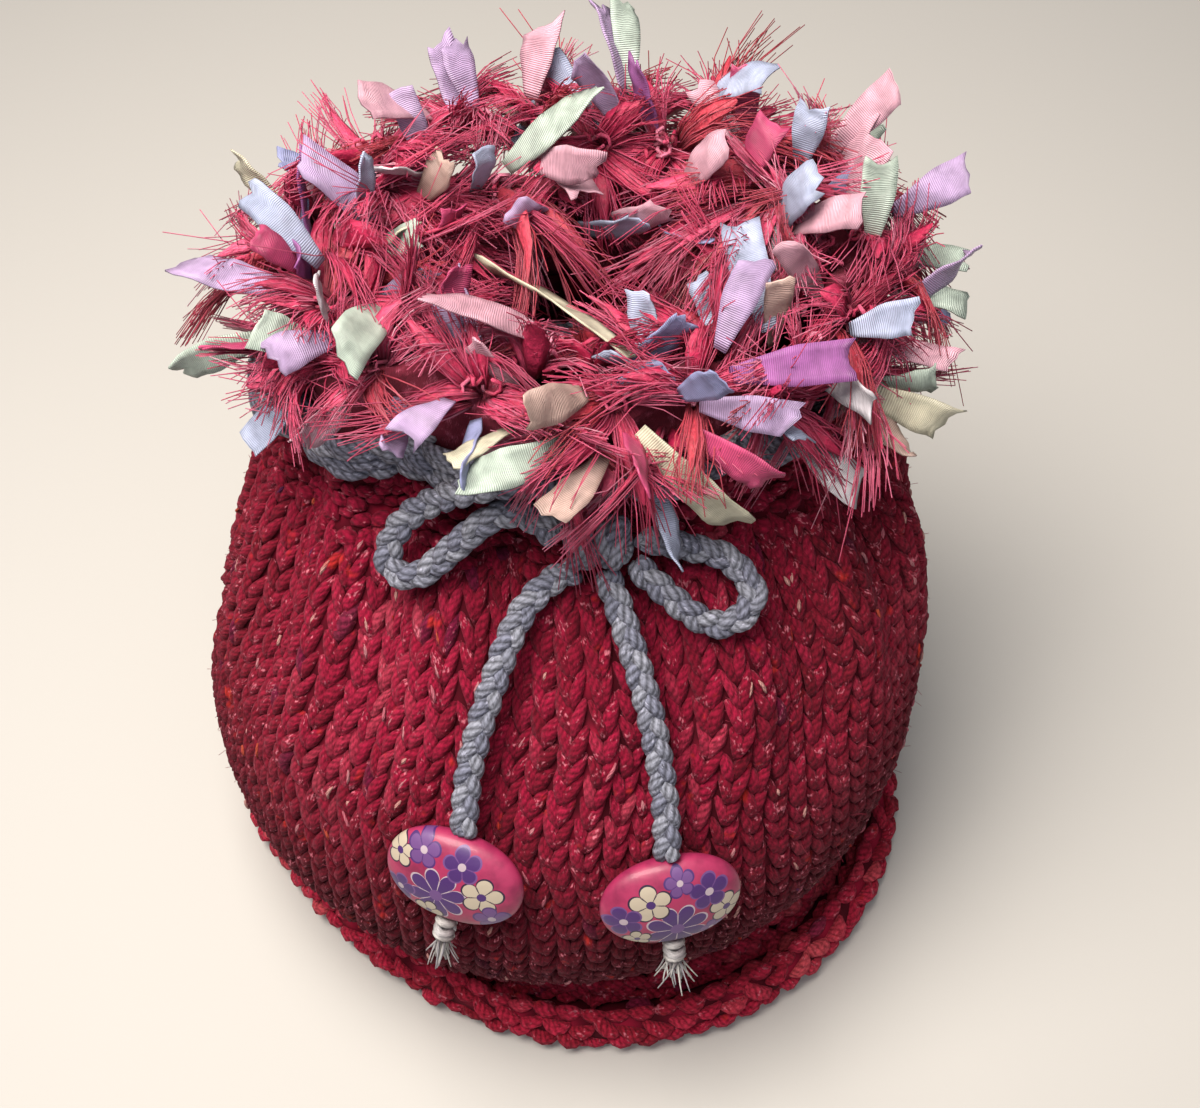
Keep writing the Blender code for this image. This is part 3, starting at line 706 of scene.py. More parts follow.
# %% Distance down the cloth
fine_level = np.linspace(0.0, HEM_END, 401)
fine_angle = np.linspace(0.0, 2 * math.pi, 48, endpoint=False)
fine_points = cloth_at(fine_level[:, None], fine_angle[None, :])
down_cloth = np.concatenate([
    [0.0], np.cumsum(np.linalg.norm(np.diff(fine_points, axis=0), axis=-1).mean(axis=1))
])


def level_down(distance):
    """The level that lies so many millimetres down the cloth from the neck's edge."""
    return np.interp(distance, down_cloth, fine_level)


HEM_AT = float(np.interp(HEM_START - 0.6, fine_level, down_cloth))
print(f"the cloth is {down_cloth[-1]:.0f} mm from neck to edge, and the hem starts at {HEM_AT:.0f} mm")

# %% [markdown]
# ## Base cloth
#
# Under the stitches lies a plain sheet. It closes the gaps between the yarns in a dark red, a
# painted shade for the shadow deep in those gaps, and from inside it is the back of the knitting,
# where stockinette shows rows of small purl bumps.
# Its middle runs a little inside the middle of the solid, which leaves the stitches their room.

# %% Two sheets
BASE_THICK = 2.4
BASE_IN = -0.5
WALES = 40
ROW_PITCH = 4.75
PANEL_FLAT = (0.244, 0.172)
HEM_FACES = (-1.3, 0.8)
LOWEST = (0.3, 0.8)
SIDES = (("front", -1), ("back", 1))

purl_wool_and_gap_shade, tree, shader = new_finish("tweed_wool_purl_side_and_gap_shade", Roughness=0.95, Specular_IOR_Level=0.15)
uv = node(tree, "UVMap").outputs["UV"]
rows_and_wales = (bands(tree, uv, "Y", 0.033, 1.5, 1.0), bands(tree, uv, "X", 0.026, 2.0, 1.0))
purl = maths(tree, "MULTIPLY", *rows_and_wales)
# The purl reds are darker than the wool's own dyes: a painted shade for the gaps between stitches, where
# this sheet shows.
PURL_AND_GAP_SHADE_STOPS = [(0.0, colour("#3E0612")), (0.45, colour("#5C0A1E")), (1.0, colour("#84122C"))]
tree.links.new(ramp(tree, purl, PURL_AND_GAP_SHADE_STOPS), shader.inputs["Base Color"])
raised_by(tree, shader, purl, 0.8, 0.0015)


def base_cloth(key, side):
    """A panel's sheet, with its inner and outer face kept off the floor where the hem lies on it."""
    levels = np.concatenate([
        np.arange(0.05, HEM_START, 0.33), np.arange(HEM_START, HEM_END, 0.25), [HEM_END - 0.05]
    ])
    spread = np.linspace(0.0, 1.0, 105)
    level, across = np.meshgrid(levels, spread, indexing="ij")
    faces = []
    for way, in_hem, lowest in zip((-1, 1), HEM_FACES, LOWEST):
        out = np.where(level > HEM_START - 0.5, in_hem, BASE_IN + way * BASE_THICK / 2)
        points, _ = panel_at(side, level, across, out)
        points[..., 2] = np.maximum(points[..., 2], lowest)
        faces.append(points[None])
    distance = np.interp(levels, fine_level, down_cloth)
    uv = np.stack(np.meshgrid(distance, spread * PANEL_FLAT[0] / MM, indexing="ij")[::-1], axis=-1)
    form = slabs(faces[1], faces[0], uv[None])
    return make_piece(key + "_base_cloth", form, purl_wool_and_gap_shade, replaces=key + "_panel")


base = {key: base_cloth(key, side) for key, side in SIDES}

# %% [markdown]
# ## Stitches
#
# Stockinette is columns of Vs. Each leg of a V is a leaf of yarn about 7 mm long that starts
# deep at the foot of its stitch, swells, and tucks in behind the stitch above. Both legs lean
# away from the stitch's middle, so a groove runs down every column. Drawing each leg as its own
# yarn gives the grooves, the shadows and the soft edge that a bump map cannot.

# %% One leg for each half stitch
LEG_STEPS = 6
LEG_HALF_WIDE = 0.27
LEG_HALF_THICK = 1.5


def stitch_legs(side, first_row, rows, sides, seed):
    """All legs of a panel as one form, with their paths on its surface, their normals and the random
    generator.

    The cosy was knitted from the neck down, so its Vs stand on their heads: across a stitch a
    leg runs from 0.5 of its width to 0.06 of it from the middle, and up it from 0.62 of its
    height below the middle to 0.86 above. It stands out by a sine of the way along.
    """
    rng = np.random.default_rng(seed)
    row = np.arange(first_row, first_row + rows)[:, None, None]
    wale = np.arange(WALES)[None, :, None]
    hand = np.array([-1.0, 1.0])[None, None, :]
    shape = (rows, WALES, 2)
    t = np.linspace(0.0, 1.0, LEG_STEPS)
    rough = rng.normal(0.0, 1.0, (5,) + shape)
    bow = np.sin(math.pi * t)
    du = hand[..., None] * (0.50 - (0.44 + 0.04 * rough[0][..., None]) * t + 0.05 * bow)
    dv = -0.62 + (1.48 + 0.07 * rough[1][..., None]) * t
    spread = (wale[..., None] + 0.5 + du + 0.03 * rough[2][..., None]) / WALES
    distance = (row[..., None] + 0.5 - dv) * ROW_PITCH
    level = level_down(distance)
    spread = np.clip(spread, 0.004, 0.996)
    out = 0.3 + 1.0 * bow**0.8 + 0.16 * rough[3][..., None]
    points, normal = panel_at(side, level, spread, out)
    left, _ = panel_at(side, level, np.clip(spread - 0.2 / WALES, 0, 1))
    right, _ = panel_at(side, level, np.clip(spread + 0.2 / WALES, 0, 1))
    stitch_wide = np.linalg.norm(right - left, axis=-1) / 0.4
    swell = np.sin(math.pi * (0.07 + 0.86 * t)) ** 0.55
    wide = np.clip(stitch_wide * LEG_HALF_WIDE, 0.9, 1.85) * swell * (1 + 0.09 * rough[4][..., None])
    thick = np.clip(LEG_HALF_THICK * swell, 0.1, 1.6) * np.ones(wide.shape)
    count = rows * WALES * 2
    paths, normals = points.reshape(count, LEG_STEPS, 3), normal.reshape(count, LEG_STEPS, 3)
    form = swept(paths, normals, wide.reshape(count, LEG_STEPS), thick.reshape(count, LEG_STEPS), sides)
    scatter_uv(form, rng)
    return form, paths, normals, rng


WOOL_DYES = colours("#5E081A", "#791028", "#8F1432", "#A11C3D", "#B13A50", "#74242B", "#4C1238")
WOOL_BROWN, WOOL_PURPLE = WOOL_DYES[5], WOOL_DYES[6]


def tweed_dye(places, rng, brown_and_low_shade=0.0):
    """A dye for each place: a slow wave over the cloth, some chance, and brown towards the sides.

    The wave is a sum of sines of the place, read as a step in the list of dyes from dark to light.
    Low down the yarn is browner, and darker by a painted shade, as the cosy's lower part turns away from
    the light above.
    """
    x, y, z = (places / 10.0).T
    slow = np.sin(1.1 * x + 2.3 * np.sin(0.35 * z + 0.4))
    slow = slow + np.sin(0.9 * z + 1.7 * np.sin(0.5 * x + 0.2 * y))
    step = 2.3 + 0.45 * slow + rng.normal(0.0, 0.55, len(places))
    picked = through(WOOL_DYES[:5], np.clip(step, 0.0, 4.0))
    odd = rng.random(len(places))[:, None] > 0.985
    aside = np.clip((np.abs(places[:, 0] - 6.0) - 38.0) / 36.0, 0.0, 1.0)
    # How low a place is: it sets both a browner dye and the painted shade of the lower cosy.
    low = np.clip((90.0 - places[:, 2]) / 42.0, 0.0, 1.0)
    browner = np.clip(0.8 * aside + 0.8 * low, 0.0, 0.95)[:, None] * brown_and_low_shade
    picked = picked * (1 - browner) + (0.4 * picked + 0.6 * WOOL_BROWN) * browner
    picked = np.where(odd, 0.4 * picked + 0.6 * WOOL_PURPLE, picked)
    # Painted shade: low down on the cosy the dye is darkened by up to 0.62 of itself.
    return np.clip(picked * (1 - 0.62 * low[:, None] * brown_and_low_shade), 0.0, 1.0)


NECK_ROWS = 4
BODY_ROWS = int((HEM_AT - 2.0) / ROW_PITCH) - NECK_ROWS
stitches = {}
SLUBS = 240
SLUB_DYES = colours("#D89098", "#E0A8A0", "#D87888", "#D05A40", "#C03426", "#5A2452")
SLUB_SHARES = (0.3, 0.22, 0.2, 0.12, 0.1, 0.06)
SLUB_TAPER = np.array([0.4, 1.0, 0.9, 0.3])
FUZZ = 1000


def fuzz(side, count, rng):
    """Fine loose fibres that stand off a panel: root + way * (length t) + a bend of t^2, each way."""
    t = np.linspace(0.0, 1.0, 4)
    level = level_down(rng.uniform(18.0, HEM_AT + 8.0, count))
    root, normal = panel_at(side, level, rng.uniform(0.01, 0.99, count), np.full(count, 0.9))
    way = unit(unit(rng.normal(0.0, 1.0, (count, 3))) + 0.75 * normal)
    bend = rng.normal(0.0, 1.2, (count, 3)) - 0.5 * UP
    length = rng.uniform(0.9, 2.9, count)
    paths = root[:, None] + way[:, None] * (length[:, None] * t)[..., None]
    paths = paths + bend[:, None] * (t**2)[:, None]
    paths[..., 2] = np.maximum(paths[..., 2], LOWEST[0])
    return swept(paths, normal[:, None], 0.055, 0.055, 3)


for key, side in SIDES:
    form, paths, normals, rng = stitch_legs(side, NECK_ROWS, BODY_ROWS, 5, seed=21 + side)
    dye = tweed_dye(paths[:, LEG_STEPS // 2], rng, 1.0)
    stitches[key] = [make_piece(key + "_stitches", form, tweed_wool, dye)]
    chosen = rng.choice(len(paths), SLUBS, replace=False)
    normal = normals[chosen, 1:5]
    lifted = paths[chosen, 1:5] + normal * 1.12 + rng.normal(0.0, 0.35, (SLUBS, 1, 3))
    middle = lifted.mean(axis=1, keepdims=True)
    short = rng.uniform(0.3, 0.75, SLUBS)[:, None, None]
    slub = swept(middle + short * (lifted - middle), normal, 0.44 * SLUB_TAPER, 0.34, 4)
    loose = fuzz(side, FUZZ, rng)
    slub_dye = SLUB_DYES[rng.choice(len(SLUB_DYES), SLUBS, p=SLUB_SHARES)]
    loose_dye = tweed_dye(loose["points"][: FUZZ * 12 : 12], rng) * 1.3 + 0.03
    dye = np.concatenate([slub_dye, loose_dye])
    stitches[key].append(
        make_piece(key + "_slubs_and_fuzz", joined(slub, loose), tweed_wool, dye)
    )

# %% [markdown]
# Garter stitch is knitted plain on both sides, so it shows ridges of short bumps instead of Vs,
# each row set half a stitch off the next. It makes the neck hold its shape under the frill, and
# the hem roll up. A bump is a bead of yarn that lies across, fat in the middle.

# %% Garter bumps
BUMP_STEPS = 5
BUMP_SIDES = 5


def garter_bumps(side, distances, wide_mm, half_tall, half_thick, out_by, seed, under=False):
    """Rows of short beads of yarn across a panel, at distances down the cloth.

    A bead is 1.05 of its pitch long, so that neighbours overlap, and arches up by a sine. With
    under, beads stand on the inner face, which the hem's roll turns outwards.
    """
    rng = np.random.default_rng(seed)
    t = np.linspace(-0.5, 0.5, BUMP_STEPS)
    count = int(round(PANEL_FLAT[0] / MM / wide_mm))
    stagger = 0.5 * (np.arange(len(distances)) % 2)[:, None]
    middle = (np.arange(count)[None, :] + 0.25 + stagger) / count
    rough = rng.normal(0.0, 1.0, (4, len(distances), count))[..., None]
    spread = np.clip(middle[..., None] + 1.05 * t / count, 0.003, 0.997)
    rise = np.cos(math.pi * t)
    distance = np.asarray(distances)[:, None, None] + 0.5 * rough[0] - 0.7 * rise + 1.6 * rough[3] * t
    sign = -1.0 if under else 1.0
    out = sign * (out_by + 0.7 * rise + 0.3 * rough[1])
    points, normal = panel_at(side, level_down(distance), spread, out)
    points[..., 2] = np.maximum(points[..., 2], 1.2 * max(half_thick, half_tall) + 0.1)
    swell = np.cos(math.pi * t * 0.86) ** 0.6 * np.clip(1 + 0.12 * rough[2], 0.7, 1.2)
    total = len(distances) * count
    paths, facing = (a.reshape(total, BUMP_STEPS, 3) for a in (points, sign * normal))
    swell = swell.reshape(total, BUMP_STEPS)
    form = swept(paths, facing, half_tall * swell, half_thick * swell, BUMP_SIDES)
    scatter_uv(form, rng)
    return form, points[:, :, BUMP_STEPS // 2].reshape(total, 3), rng


NECK_RIDGES = np.array([2.0, 5.6, 9.2, 12.8, 16.4, 20.0])
# The hem's dye is made browner and brightened two to three times in linear light: a painted light that
# lifts the hem out of the shade it lies in below the belly.
HEM_TINT_AND_PAINTED_LIGHT = np.array([2.2, 2.8, 2.0, 1.0])


def at_level(level):
    """How far down the cloth a level lies, in millimetres."""
    return float(np.interp(level, fine_level, down_cloth))


hem_trough = np.arange(at_level(HEM_START - 0.8), at_level(HEM_START + 2.4), 3.1)
hem_roll = np.arange(hem_trough[-1] + 1.5, down_cloth[-1] - 0.2, 2.45)
hem_under = np.linspace(at_level(HEM_START + 2.2), down_cloth[-1] - 0.1, 5)
for key, side in SIDES:
    neck, places, rng = garter_bumps(side, NECK_RIDGES, 4.6, 1.75, 1.5, 0.6, seed=31 + side)
    dye = tweed_dye(places, rng, 0.3)
    stitches[key].append(make_piece(key + "_neck_ridges", neck, tweed_wool, dye))
    bumps = [
        garter_bumps(side, hem_trough, 5.4, 1.8, 2.0, 3.0, seed=41 + side),
        garter_bumps(side, hem_roll, 5.4, 1.75, 2.1, 1.4, seed=45 + side),
        garter_bumps(side, hem_under, 5.4, 1.9, 1.9, 1.1, seed=51 + side, under=True),
    ]
    forms, places, rngs = zip(*bumps)
    # The hem's dye carries a painted light as well as its browner tint.
    dye = tweed_dye(np.concatenate(places), rngs[0], 0.3) * HEM_TINT_AND_PAINTED_LIGHT
    stitches[key].append(make_piece(key + "_hem_bumps", joined(*forms), tweed_wool, dye))
print("neck and hem bumps ready")

# %% [markdown]
# ## The frill's band
#
# The frill is knitted on above the neck: first three rows in the blue-grey yarn of the tie,
# whose chunky chains show as a ruffled foot, then the fancy yarn. The band widens towards its
# rim and falls into soft folds. It is one closed ring.

# %% Band
FRILL_FOOT = 138.35
FRILL_RIM = {"height": 158.0, "left": -38.0, "right": 64.0, "front": -10.0, "back": 46.0, "middle_y": 17.0}
FRILL_FOLDS, FRILL_FOLD, FRILL_DIP, FRILL_TILT = 7, 4.5, 0.5, 2.5
BAND_THICK = 3.0


def frill_at(rise, angle):
    """A point of the frill's middle surface, where rise is 0 at the neck and 1 at the rim.

    The foot follows the top of the cloth and the rim is an oval with folds. Outward the way
    from one to the other is p^2 (1.6 - 0.6 p), and upward p (1.15 - 0.15 p).
    """
    rise, angle = np.broadcast_arrays(np.asarray(rise, float), np.asarray(angle, float))
    foot = cloth_at(np.zeros_like(angle), angle)
    foot[..., 2] = FRILL_FOOT
    half = (FRILL_RIM["right"] - FRILL_RIM["left"]) / 2
    middle_x, middle_y = (FRILL_RIM["left"] + FRILL_RIM["right"]) / 2, FRILL_RIM["middle_y"]
    reach = np.where(np.sin(angle) < 0, middle_y - FRILL_RIM["front"], FRILL_RIM["back"] - middle_y)
    fold = np.cos(FRILL_FOLDS * (angle - 1.5 * math.pi)) * FRILL_FOLD
    rim = np.stack([
        middle_x + (half + fold) * np.cos(angle), middle_y + (reach + fold) * np.sin(angle),
        FRILL_RIM["height"] - FRILL_DIP * fold + FRILL_TILT * np.sin(2 * angle + 0.7),
    ], axis=-1)
    part = rise[..., None]
    out, up = part * part * (1.6 - 0.6 * part), part * (1.15 - 0.15 * part)
    return foot + (rim - foot) * np.concatenate([out, out, up], axis=-1)


def frill_out(rise, angle):
    """The frill's outward unit normal: the cross product of its slopes, turned to point outward."""
    small = 1e-3
    up = frill_at(rise + small, angle) - frill_at(rise - small, angle)
    around = frill_at(rise, angle + small) - frill_at(rise, angle - small)
    return unit(np.cross(around, up))


band_rise = np.linspace(1.0, 0.02, 11)
band_angle = np.linspace(0.0, 2 * math.pi, 181)
rise, angle = np.meshgrid(band_rise, band_angle, indexing="ij")
middle, normal = frill_at(rise, angle), frill_out(rise, angle)
band_length = float(np.linalg.norm(np.diff(middle[0], axis=0), axis=-1).sum())
band_height = float(np.linalg.norm(np.diff(middle, axis=0), axis=-1).sum(axis=0).mean())
band_uv = np.stack([angle / (2 * math.pi) * band_length, rise * band_height], axis=-1)
band_finish = yarn_finish("hair_yarn_knitted", WOOL_STOPS, fleck="#E0708F", blob="#7E2040")
outer, inner = middle + normal * BAND_THICK / 2, middle - normal * BAND_THICK / 2
band = slabs(outer[None], inner[None], band_uv[None], wrap=True)
frill_band = make_piece("frill_band", band, band_finish, colours("#8E1E3C"), replaces="frill")
print(f"the band is {band_length:.0f} mm round its rim and {band_height:.0f} mm tall")

# %% Chains at the foot
CHAIN_RISES = (0.05, 0.17, 0.29)
CHAIN_STITCHES = 46
CHAIN_HUMPS = 11
CHAIN_DYES = colours("#8E90A4", "#9C9EB0", "#AAABBA", "#82859A")
rng = np.random.default_rng(61)
t = np.linspace(0.0, 1.0, LEG_STEPS)
row = np.arange(len(CHAIN_RISES))[:, None, None]
place = np.arange(CHAIN_STITCHES)[None, :, None]
hand = np.array([-1.0, 1.0])[None, None, :]
rough = rng.normal(0.0, 1.0, (3, len(CHAIN_RISES), CHAIN_STITCHES, 2, 1))
rises = np.array(CHAIN_RISES)[row][..., None] + hand[..., None] * (0.012 + 0.05 * t) + 0.006 * rough[0]
turns = (place[..., None] + 0.4 * (row % 2)[..., None] + 1.35 * t + 0.05 * rough[1]) / CHAIN_STITCHES
angles = turns * 2 * math.pi
ruffle = 1.3 * (1 + np.cos(CHAIN_HUMPS * angles + 1.0))
out = BAND_THICK / 2 + 0.6 + ruffle + 1.7 * np.sin(math.pi * t) + 0.25 * rough[2]
rises, angles, out = np.broadcast_arrays(rises, angles, out)
facing = frill_out(rises, angles)
paths = (frill_at(rises, angles) + facing * out[..., None]).reshape(-1, LEG_STEPS, 3)
swell = np.sin(math.pi * (0.08 + 0.84 * t)) ** 0.6
chain = swept(paths, facing.reshape(-1, LEG_STEPS, 3), 1.6 * swell, 1.5 * swell, 6)
scatter_uv(chain, rng)
chain_dye = CHAIN_DYES[rng.integers(0, len(CHAIN_DYES), len(paths))]
frill_chain = make_piece("frill_foot_chains", chain, cotton_cord, chain_dye)

# %% [markdown]
# ## Hair
#
# The fancy yarn carries tufts of silky filament in raspberry and rose. They stand in bursts: from
# a knot in the yarn several tufts go out like the rays of a star, each a flat bundle of nearly
# parallel filaments that spreads, arches and falls. A filament is a three-sided strand, drawn
# three times as thick as a real one, because a real one is too fine for the picture. Under each
# bundle lies one flat streaked lock, which keeps the tuft dense; it is dyed darker than its
# strands, a painted shade under the bundle. Each strand is darkened near its root, a painted
# shade deep in the tuft.

# %% Where the frill's ring runs
RING = {"x": 13.0, "y": 18.0, "half_wide": 48.0, "half_deep": 26.0, "height": 155.5, "rise": 5.0}


def ring_angle(points):
    """The angle round the ring at which each point lies."""
    x, y = points[..., 0] - RING["x"], points[..., 1] - RING["y"]
    return np.arctan2(y / RING["half_deep"], x / RING["half_wide"])


def ring_at(angle):
    """The middle of the frill's mound: an oval, higher at the back by a sine of the angle."""
    return np.stack([
        RING["x"] + RING["half_wide"] * np.cos(angle), RING["y"] + RING["half_deep"] * np.sin(angle),
        RING["height"] + RING["rise"] * np.sin(angle),
    ], axis=-1)


def ring_frame(angle):
    """At each angle, the ring's place, the level way out of it, and the way along it."""
    level = np.zeros_like(angle)
    x, y = -RING["half_wide"] * np.sin(angle), RING["half_deep"] * np.cos(angle)
    along = unit(np.stack([x, y, level], axis=-1))
    return ring_at(angle), np.stack([along[..., 1], -along[..., 0], level], axis=-1), along


def on_mound(pixels, radius):
    """Points where lines of sight through photo pixels meet a tube of a radius round the ring.

    Each line is walked in small steps. The first step within the radius is taken, or else the
    step that comes nearest.
    """
    pixels = np.asarray(pixels, float)
    x = (pixels[:, 0] - PHOTO_WIDE / 2) / FOCAL_PIXELS
    y = (PHOTO_TALL / 2 - pixels[:, 1]) / FOCAL_PIXELS
    sight = unit(CAMERA_FORWARD + x[:, None] * CAMERA_RIGHT + y[:, None] * CAMERA_UP)
    depth = np.linspace(150.0, 420.0, 541)
    walked = np.array(CAMERA_AT) + sight[:, None] * depth[None, :, None]
    apart = np.linalg.norm(walked - ring_at(ring_angle(walked)), axis=-1)
    inside = apart < np.asarray(radius)[:, None]
    step = np.where(inside.any(axis=1), inside.argmax(axis=1), apart.argmin(axis=1))
    return walked[np.arange(len(pixels)), step]


def mound_out(points):
    """The way out from the ring's middle at each point."""
    return unit(points - ring_at(ring_angle(points)))


def drawn_in(points, most):
    """Points that lie further from the ring's middle than most, brought in to that distance."""
    middle = ring_at(ring_angle(points))
    away = np.linalg.norm(points - middle, axis=-1, keepdims=True)
    return middle + (points - middle) * np.minimum(1.0, most / away)


# %% Where the bursts stand
SEEN_BURSTS = (
    (615, 400), (390, 275), (640, 115), (880, 290), (480, 120), (560, 200), (760, 300), (300, 350),
    (760, 400), (450, 190), (720, 150), (850, 170), (330, 300), (590, 330), (890, 400), (430, 90),
    (835, 120), (480, 390), (612, 462), (560, 440), (270, 390), (680, 440), (930, 400), (260, 250),
    (540, 120), (940, 250), (598, 148), (662, 150), (505, 300), (548, 322),
)
CORE_RADIUS = 8.0
FILL_ROWS = ((30, -6.0), (24, 58.0), (20, 128.0), (22, 172.0))
FRONT_AT, FRONT_HALF = 267.0, 54.0
rng = np.random.default_rng(71)
seen_core = drawn_in(on_mound(SEEN_BURSTS, np.full(len(SEEN_BURSTS), CORE_RADIUS)), CORE_RADIUS)
fill_core = []
for number, climb_degrees in FILL_ROWS:
    angle = (np.arange(number) + rng.uniform(0.0, 0.8, number)) / number * 2 * math.pi
    climb = np.radians(climb_degrees + rng.normal(0.0, 10.0, number))
    place, out, _ = ring_frame(angle)
    spot = place + (out * np.cos(climb)[:, None] + UP * np.sin(climb)[:, None]) * CORE_RADIUS
    in_front = np.abs(np.degrees(angle) - FRONT_AT) < FRONT_HALF
    spot = spot[~(in_front & (climb < math.radians(20.0)))]
    near = np.linalg.norm(spot[:, None] - seen_core[None], axis=-1).min(axis=1)
    fill_core.append(spot[near > 8.0])
print(len(seen_core), "bursts read from the photo and", sum(len(core) for core in fill_core), "more")

# %% Tufts of a burst
HAIR_DYES = colours("#8E1234", "#B8224E", "#D23862", "#DE5078", "#E8688E", "#F08CAA", "#F6B4C8")
HAIR_BROWN = np.array(colour("#C04440"))
STRAND_STEPS = 5
TUFT_STRANDS = 29
LOCK_WIDE = np.array([0.75, 0.8, 0.75, 0.5, 0.12])
LOCK_THICK = np.array([0.6, 0.7, 0.55, 0.35, 0.12])


def tufts(core, each, reach, lean, rng):
    """Star bursts: the strands of all tufts, the flat locks under them, and a dye for both.

    Tuft k of a burst points at 2 pi k / each round the core's normal, lifted off the mound, and
    leans out of the ring, or into it where lean is negative. A tuft's
    middle is root + way L t + face a sin(pi t) - up s L t^2 + side b L t^2, and strand j lies
    side * x w(t) from that, where w grows from a quarter at the root and may close at the tip.
    """
    t = np.linspace(0.0, 1.0, STRAND_STEPS)
    who = np.repeat(np.arange(len(core)), each)
    count = len(who)
    normal = mound_out(core)[who]
    _, ring_out, along = ring_frame(ring_angle(core))
    ring_out, along = ring_out[who], along[who]
    round_core = 2 * math.pi * (np.tile(np.arange(each), len(core)) + rng.uniform(-0.5, 0.5, count)) / each
    round_core = round_core + rng.uniform(0, 2 * math.pi, len(core))[who]
    aside = np.cross(normal, along)
    flat_way = along * np.cos(round_core)[:, None] + aside * np.sin(round_core)[:, None]
    way = unit(flat_way + rng.uniform(0.1, 1.0, count)[:, None] * normal + lean * ring_out)
    droop = np.clip(-way[:, 2], 0.0, 1.0)
    length = reach * rng.uniform(0.6, 1.25, count) * (1 - 0.3 * droop)
    face = flat_to(normal, way)
    side = np.cross(way, face)
    arch = rng.uniform(0.5, 3.6, count)
    fall = rng.uniform(0.12, 0.44, count) * length
    bend = rng.normal(0.0, 0.24, count) * length
    root = core[who] - normal * 1.5 + flat_way * rng.uniform(-1.0, 3.0, count)[:, None]

    def middle(part, long):
        lifted = face[:, None] * (arch[:, None] * np.sin(math.pi * part))[..., None]
        line = root[:, None] + way[:, None] * (long * part)[..., None] + lifted
        line = line - UP * (fall[:, None] * part**2)[..., None]
        return line + side[:, None] * (bend[:, None] * part**2)[..., None]

    half = rng.uniform(2.8, 5.2, count)[:, None]
    closing = rng.uniform(0.0, 0.6, count)[:, None]
    spread = half * (0.25 + 1.3 * t - 0.55 * t**2) * (1 - closing * t**2)
    lock_paths = middle(t[None] * 0.72, length[:, None]) - face[:, None] * 0.5
    locks = swept(lock_paths, face[:, None], spread * LOCK_WIDE, LOCK_THICK, 6)
    owner = np.repeat(np.arange(count), TUFT_STRANDS)
    total = len(owner)
    x = rng.uniform(-1.0, 1.0, total)[:, None]
    depth = rng.normal(0.0, 0.42, total)[:, None]
    share = (rng.uniform(0.78, 1.06, total) * (1 - 0.16 * x[:, 0]**2))[:, None] * t[None]
    paths = middle(t[None], length[:, None])[owner]
    paths = paths + (way[owner] * length[owner][:, None])[:, None] * (share - t[None])[..., None]
    own_bend = rng.normal(0.0, 0.11, (total, 1)) * length[owner][:, None] * t**2
    curl = rng.normal(0.0, 0.55, (total, 1))
    waves = rng.uniform(3.0, 8.0, (total, 1))
    wave = own_bend + curl * np.sin(waves * t + rng.uniform(0, 6, (total, 1)))
    stray = np.where(rng.random(total) < 0.12, 2.6, 1.0)[:, None]
    off = x * spread[owner] * (1 + (stray - 1) * 0.5 * t) + wave * t * stray
    paths = paths + side[owner][:, None] * off[..., None]
    paths = paths + face[owner][:, None] * (depth * (0.4 + t) * stray)[..., None]
    thinner = 1 - 0.4 * t
    strands = swept(paths, face[owner][:, None], 0.18 * thinner, 0.16 * thinner, 3)
    tone = 3.3 + rng.normal(0.0, 0.5, len(core))[who] + rng.normal(0.0, 0.5, count)
    # Painted shade: the lock under a tuft takes a dye darker than its strands.
    shaded_lock_dye = through(HAIR_DYES, np.clip(tone - 1.3, 0.0, 6.0))
    strand_dye = through(HAIR_DYES, np.clip(tone[owner] + rng.normal(0.0, 0.75, total), 0.0, 6.0))
    brown = rng.random(count) < 0.14
    shaded_lock_dye = np.where(brown[:, None], 0.5 * shaded_lock_dye + 0.5 * HAIR_BROWN, shaded_lock_dye)
    strand_dye = np.where(brown[owner][:, None], 0.45 * strand_dye + 0.55 * HAIR_BROWN, strand_dye)
    return joined(locks, strands), np.clip(np.concatenate([shaded_lock_dye, strand_dye]), 0.0, 1.0)


# %% Knots of the yarn
KNOT_LOOPS = 8


def yarn_knots(core, rng):
    """Small loops of the core yarn at each burst: arcs of 234 degrees, turned every way."""
    t = np.linspace(0.0, 1.0, 5)
    who = np.repeat(np.arange(len(core)), KNOT_LOOPS)
    count = len(who)
    normal = mound_out(core)[who]
    first = unit(rng.normal(0.0, 1.0, (count, 3)))
    second = unit(np.cross(first, rng.normal(0.0, 1.0, (count, 3))))
    radius = rng.uniform(0.9, 1.9, count)[:, None]
    middle = core[who] + normal * rng.uniform(-0.5, 1.6, count)[:, None] + rng.normal(0.0, 1.6, (count, 3))
    turn = 1.3 * math.pi * t
    paths = middle[:, None] + first[:, None] * (radius * np.cos(turn))[..., None]
    paths = paths + second[:, None] * (radius * np.sin(turn))[..., None]
    loops = swept(paths, normal[:, None], 0.42, 0.42, 4)
    return loops, through(HAIR_DYES, rng.uniform(1.0, 5.4, count))


near_tufts, near_dye = tufts(seen_core, 6, 22.0, 0.15, rng)
knots, knot_dye = yarn_knots(np.concatenate([seen_core] + fill_core), rng)
seen_hair, seen_hair_dye = joined(near_tufts, knots), np.concatenate([near_dye, knot_dye])
frill_hair = [make_piece("frill_hair_seen", seen_hair, hair_yarn, seen_hair_dye)]
FILL_TUFTS = (
    ("outer", 5, 20.0, 0.35), ("top", 5, 20.0, 0.0), ("inner", 6, 28.0, -0.9), ("middle", 5, 28.0, -1.4),
)
for core, (name, each, reach, lean) in zip(fill_core, FILL_TUFTS):
    form, dye = tufts(core, each, reach, lean, rng)
    frill_hair.append(make_piece("frill_hair_" + name, form, hair_yarn, dye))
